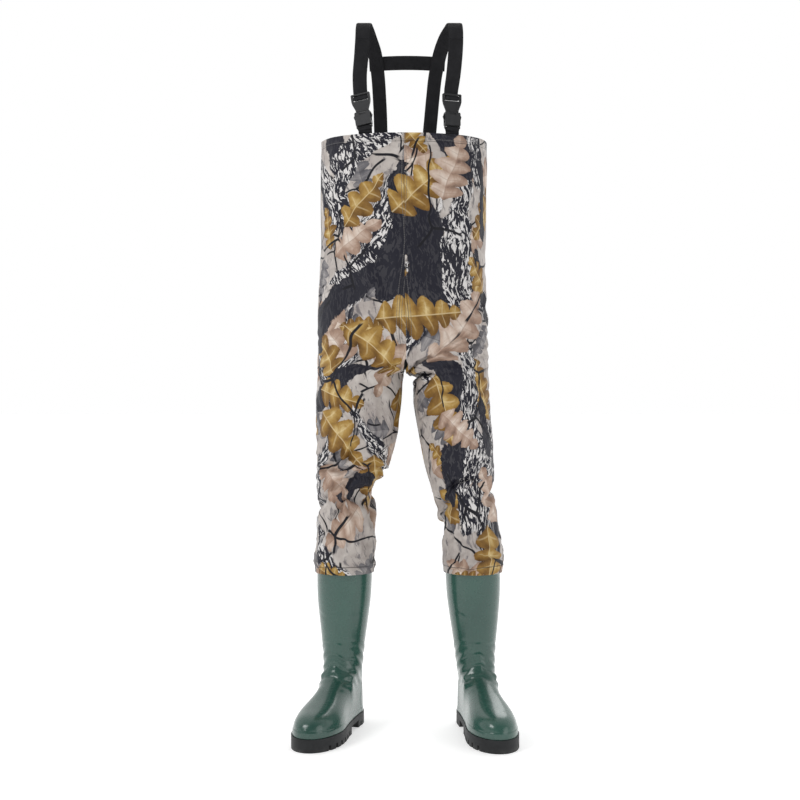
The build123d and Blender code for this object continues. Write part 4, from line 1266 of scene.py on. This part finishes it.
# ---- stage ----
def build_stage():
    """A pale floor lit evenly, three soft lamps and the camera in front of the wearer."""
    scene = bpy.context.scene
    shop = scene.waders_stage
    f = Finish("studio_floor", Roughness=0.9, Emission_Color=(1.0, 1.0, 1.0, 1.0), Emission_Strength=shop.floor_glow)
    tone = f.noise(f.place(), 3.0, 2.0)
    f.feed(Base_Color=f.ramp(tone, (0.0, (0.86, 0.86, 0.86)), (1.0, (0.88, 0.88, 0.88))))
    corners = [(-60, -60, 0), (60, -60, 0), (60, 60, 0), (-60, 60, 0)]
    floor = new_object("floor", corners, [(0, 1, 2, 3)], None, [f.material], False)
    world = bpy.data.worlds.new("studio")
    scene.world = world
    world.use_nodes = True
    nodes, links = world.node_tree.nodes, world.node_tree.links
    background, way = nodes["Background"], nodes.new("ShaderNodeTexCoord")
    axes, level = nodes.new("ShaderNodeSeparateXYZ"), nodes.new("ShaderNodeMapRange")
    background.inputs["Color"].default_value = (1.0, 1.0, 1.0, 1.0)
    for socket, value in (("From Min", -0.5), ("From Max", 0.25), ("To Min", shop.front_light), ("To Max", 1.0)):
        level.inputs[socket].default_value = value
    # white all round the horizon, so that every view has a pale ground
    band, either = nodes.new("ShaderNodeMapRange"), nodes.new("ShaderNodeMath")
    for socket, value in (("From Min", 0.22), ("From Max", 0.42), ("To Min", 1.0), ("To Max", 0.0)):
        band.inputs[socket].default_value = value
    either.operation = "MAXIMUM"
    links.new(way.outputs["Generated"], axes.inputs[0])
    links.new(axes.outputs["Y"], level.inputs["Value"])
    links.new(axes.outputs["Z"], band.inputs["Value"])
    links.new(level.outputs[0], either.inputs[0])
    links.new(band.outputs[0], either.inputs[1])
    links.new(either.outputs[0], background.inputs["Strength"])
    for name, place, aim, size, power in (
        ("key", (-2.2, -1.6, 2.6), (0, 0, 0.75), 1.1, shop.key_light),
        ("fill", (2.4, -1.8, 1.3), (0, 0, 0.7), 1.6, shop.key_light * 0.35),
        ("rim", (0.6, 2.4, 2.4), (0, 0, 0.9), 1.6, shop.key_light * 0.5),
    ):
        lamp = bpy.data.lights.new(name, "AREA")
        lamp.size, lamp.energy = size, power
        holder = bpy.data.objects.new(name, lamp)
        holder.location = place
        holder.rotation_euler = (Vector(aim) - Vector(place)).to_track_quat("-Z", "Y").to_euler()
        scene.collection.objects.link(holder)
    camera = bpy.data.cameras.new("camera")
    camera.sensor_width, camera.lens = 36.0, shop.lens
    holder = bpy.data.objects.new("camera", camera)
    holder.location = (shop.camera_x, BODY_Y - shop.distance, shop.camera_height)
    holder.rotation_euler = (math.pi / 2, 0, 0)
    scene.collection.objects.link(holder)
    scene.camera = holder
    scene.view_settings.view_transform = "Standard"


# ---- the add-on's classes ----
class FabricSizes(bpy.types.PropertyGroup):
    """Sizes of the printed fabric."""

    thickness: FloatProperty(
        name="Thickness", description="Thickness of the coated fabric", default=0.0011, unit="LENGTH"
    )
    bunching: FloatProperty(
        name="Bunching", description="Spare leg length gathered above the boots, in decimetres", default=0.6
    )
    roughness: FloatProperty(name="Roughness", description="Least roughness of the coating", default=0.42)
    columns: IntProperty(name="Columns", description="Divisions of the cloth round each side", default=68)
    quality: IntProperty(name="Quality", description="Simulation steps in each frame", default=5)
    slack: FloatProperty(
        name="Slack", description="Room between the wearer and the cloth", default=0.007, unit="LENGTH"
    )
    stretch: FloatProperty(name="Stretch", description="Stiffness of the cloth against stretch", default=40.0)
    bend: FloatProperty(name="Bend", description="Stiffness of the cloth against bending", default=0.3)
    gravity: FloatProperty(name="Gravity", description="Share of gravity that the cloth feels", default=0.1)
    steps: IntProperty(name="Steps", description="Frames of cloth simulation", default=24)


class BootSizes(bpy.types.PropertyGroup):
    """Sizes of the boots."""

    columns: IntProperty(name="Columns", description="Divisions round each boot", default=144)
    dark_green: FloatVectorProperty(
        name="Dark green", description="Darker clouds of the boots' colour", subtype="COLOR", default=(0.014, 0.056, 0.043)
    )
    light_green: FloatVectorProperty(
        name="Light green", description="Lighter clouds of the boots' colour", subtype="COLOR", default=(0.026, 0.088, 0.067)
    )


class StageSizes(bpy.types.PropertyGroup):
    """Camera and light."""

    camera_x: FloatProperty(
        name="Camera x", description="Sideways place of the camera", default=-0.0084, unit="LENGTH"
    )
    distance: FloatProperty(
        name="Distance", description="Camera to the middle of the trunk", default=2.70, unit="LENGTH"
    )
    camera_height: FloatProperty(
        name="Height", description="Height of the camera", default=0.68, unit="LENGTH"
    )
    lens: FloatProperty(name="Lens", description="Focal length in millimetres", default=57.9)
    front_light: FloatProperty(
        name="Front light", description="Strength of the surroundings behind the camera", default=0.22
    )
    floor_glow: FloatProperty(
        name="Floor glow", description="How far the floor is lifted to white", default=0.4
    )
    key_light: FloatProperty(
        name="Key light", description="Power of the main lamp", default=34.0, subtype="POWER"
    )


class WADERS_OT_fabric(bpy.types.Operator):
    """Make the fabric finishes, drape the garment and cut it into its moving pieces"""

    bl_idname = "waders.fabric"
    bl_label = "Bib and legs"

    def execute(self, context):
        MADE["fabric_right"] = printed_fabric("printed_fabric_right")
        MADE["fabric_left"] = MADE["fabric_right"].copy()
        MADE["fabric_left"].name = "printed_fabric_left"
        MADE["fabric_left"].node_tree.nodes["shift"].outputs[0].default_value = 1.83
        MADE["backing"] = fabric_backing()
        build_garment()
        cut_pieces()
        fit_pieces()
        return {"FINISHED"}


class WADERS_OT_inside(bpy.types.Operator):
    """Lay the hem, the seam tapes and the strap patches on the inside of the bib"""

    bl_idname = "waders.inside"
    bl_label = "Inside layers"

    def execute(self, context):
        build_inside()
        return {"FINISHED"}


class WADERS_OT_straps(bpy.types.Operator):
    """Make the webbing straps, tabs and bridge, and finish the buckles"""

    bl_idname = "waders.straps"
    bl_label = "Straps and buckles"

    def execute(self, context):
        build_straps()
        return {"FINISHED"}


class WADERS_OT_boots(bpy.types.Operator):
    """Mould the boots with their lining and insole, and finish the soles"""

    bl_idname = "waders.boots"
    bl_label = "Boots"

    def execute(self, context):
        build_boots()
        return {"FINISHED"}


class WADERS_OT_stage(bpy.types.Operator):
    """Set up the floor, lights and camera"""

    bl_idname = "waders.stage"
    bl_label = "Stage"

    def execute(self, context):
        build_stage()
        return {"FINISHED"}


class WADERS_PT_panel(bpy.types.Panel):
    """Lists the operators that build the waders"""

    bl_label = "Waders"
    bl_idname = "WADERS_PT_panel"
    bl_space_type = "VIEW_3D"
    bl_region_type = "UI"
    bl_category = "Waders"

    def draw(self, context):
        for operator in OPERATORS:
            self.layout.operator(operator.bl_idname)
        for group in GROUPS:
            settings = getattr(context.scene, group)
            for name in settings.__annotations__:
                self.layout.prop(settings, name)


GROUPS = {"waders_fabric": FabricSizes, "waders_boots": BootSizes, "waders_stage": StageSizes}
OPERATORS = (WADERS_OT_fabric, WADERS_OT_inside, WADERS_OT_straps, WADERS_OT_boots, WADERS_OT_stage)


def register():
    for kind in (*GROUPS.values(), *OPERATORS, WADERS_PT_panel):
        bpy.utils.register_class(kind)
    for name, kind in GROUPS.items():
        setattr(bpy.types.Scene, name, PointerProperty(type=kind))


def unregister():
    for name in GROUPS:
        delattr(bpy.types.Scene, name)
    for kind in reversed((*GROUPS.values(), *OPERATORS, WADERS_PT_panel)):
        bpy.utils.unregister_class(kind)


def main():
    register()
    for operator in OPERATORS:
        group, name = operator.bl_idname.split(".")
        getattr(getattr(bpy.ops, group), name)()
    bpy.context.view_layer.update()


if __name__ == "__main__":
    main()
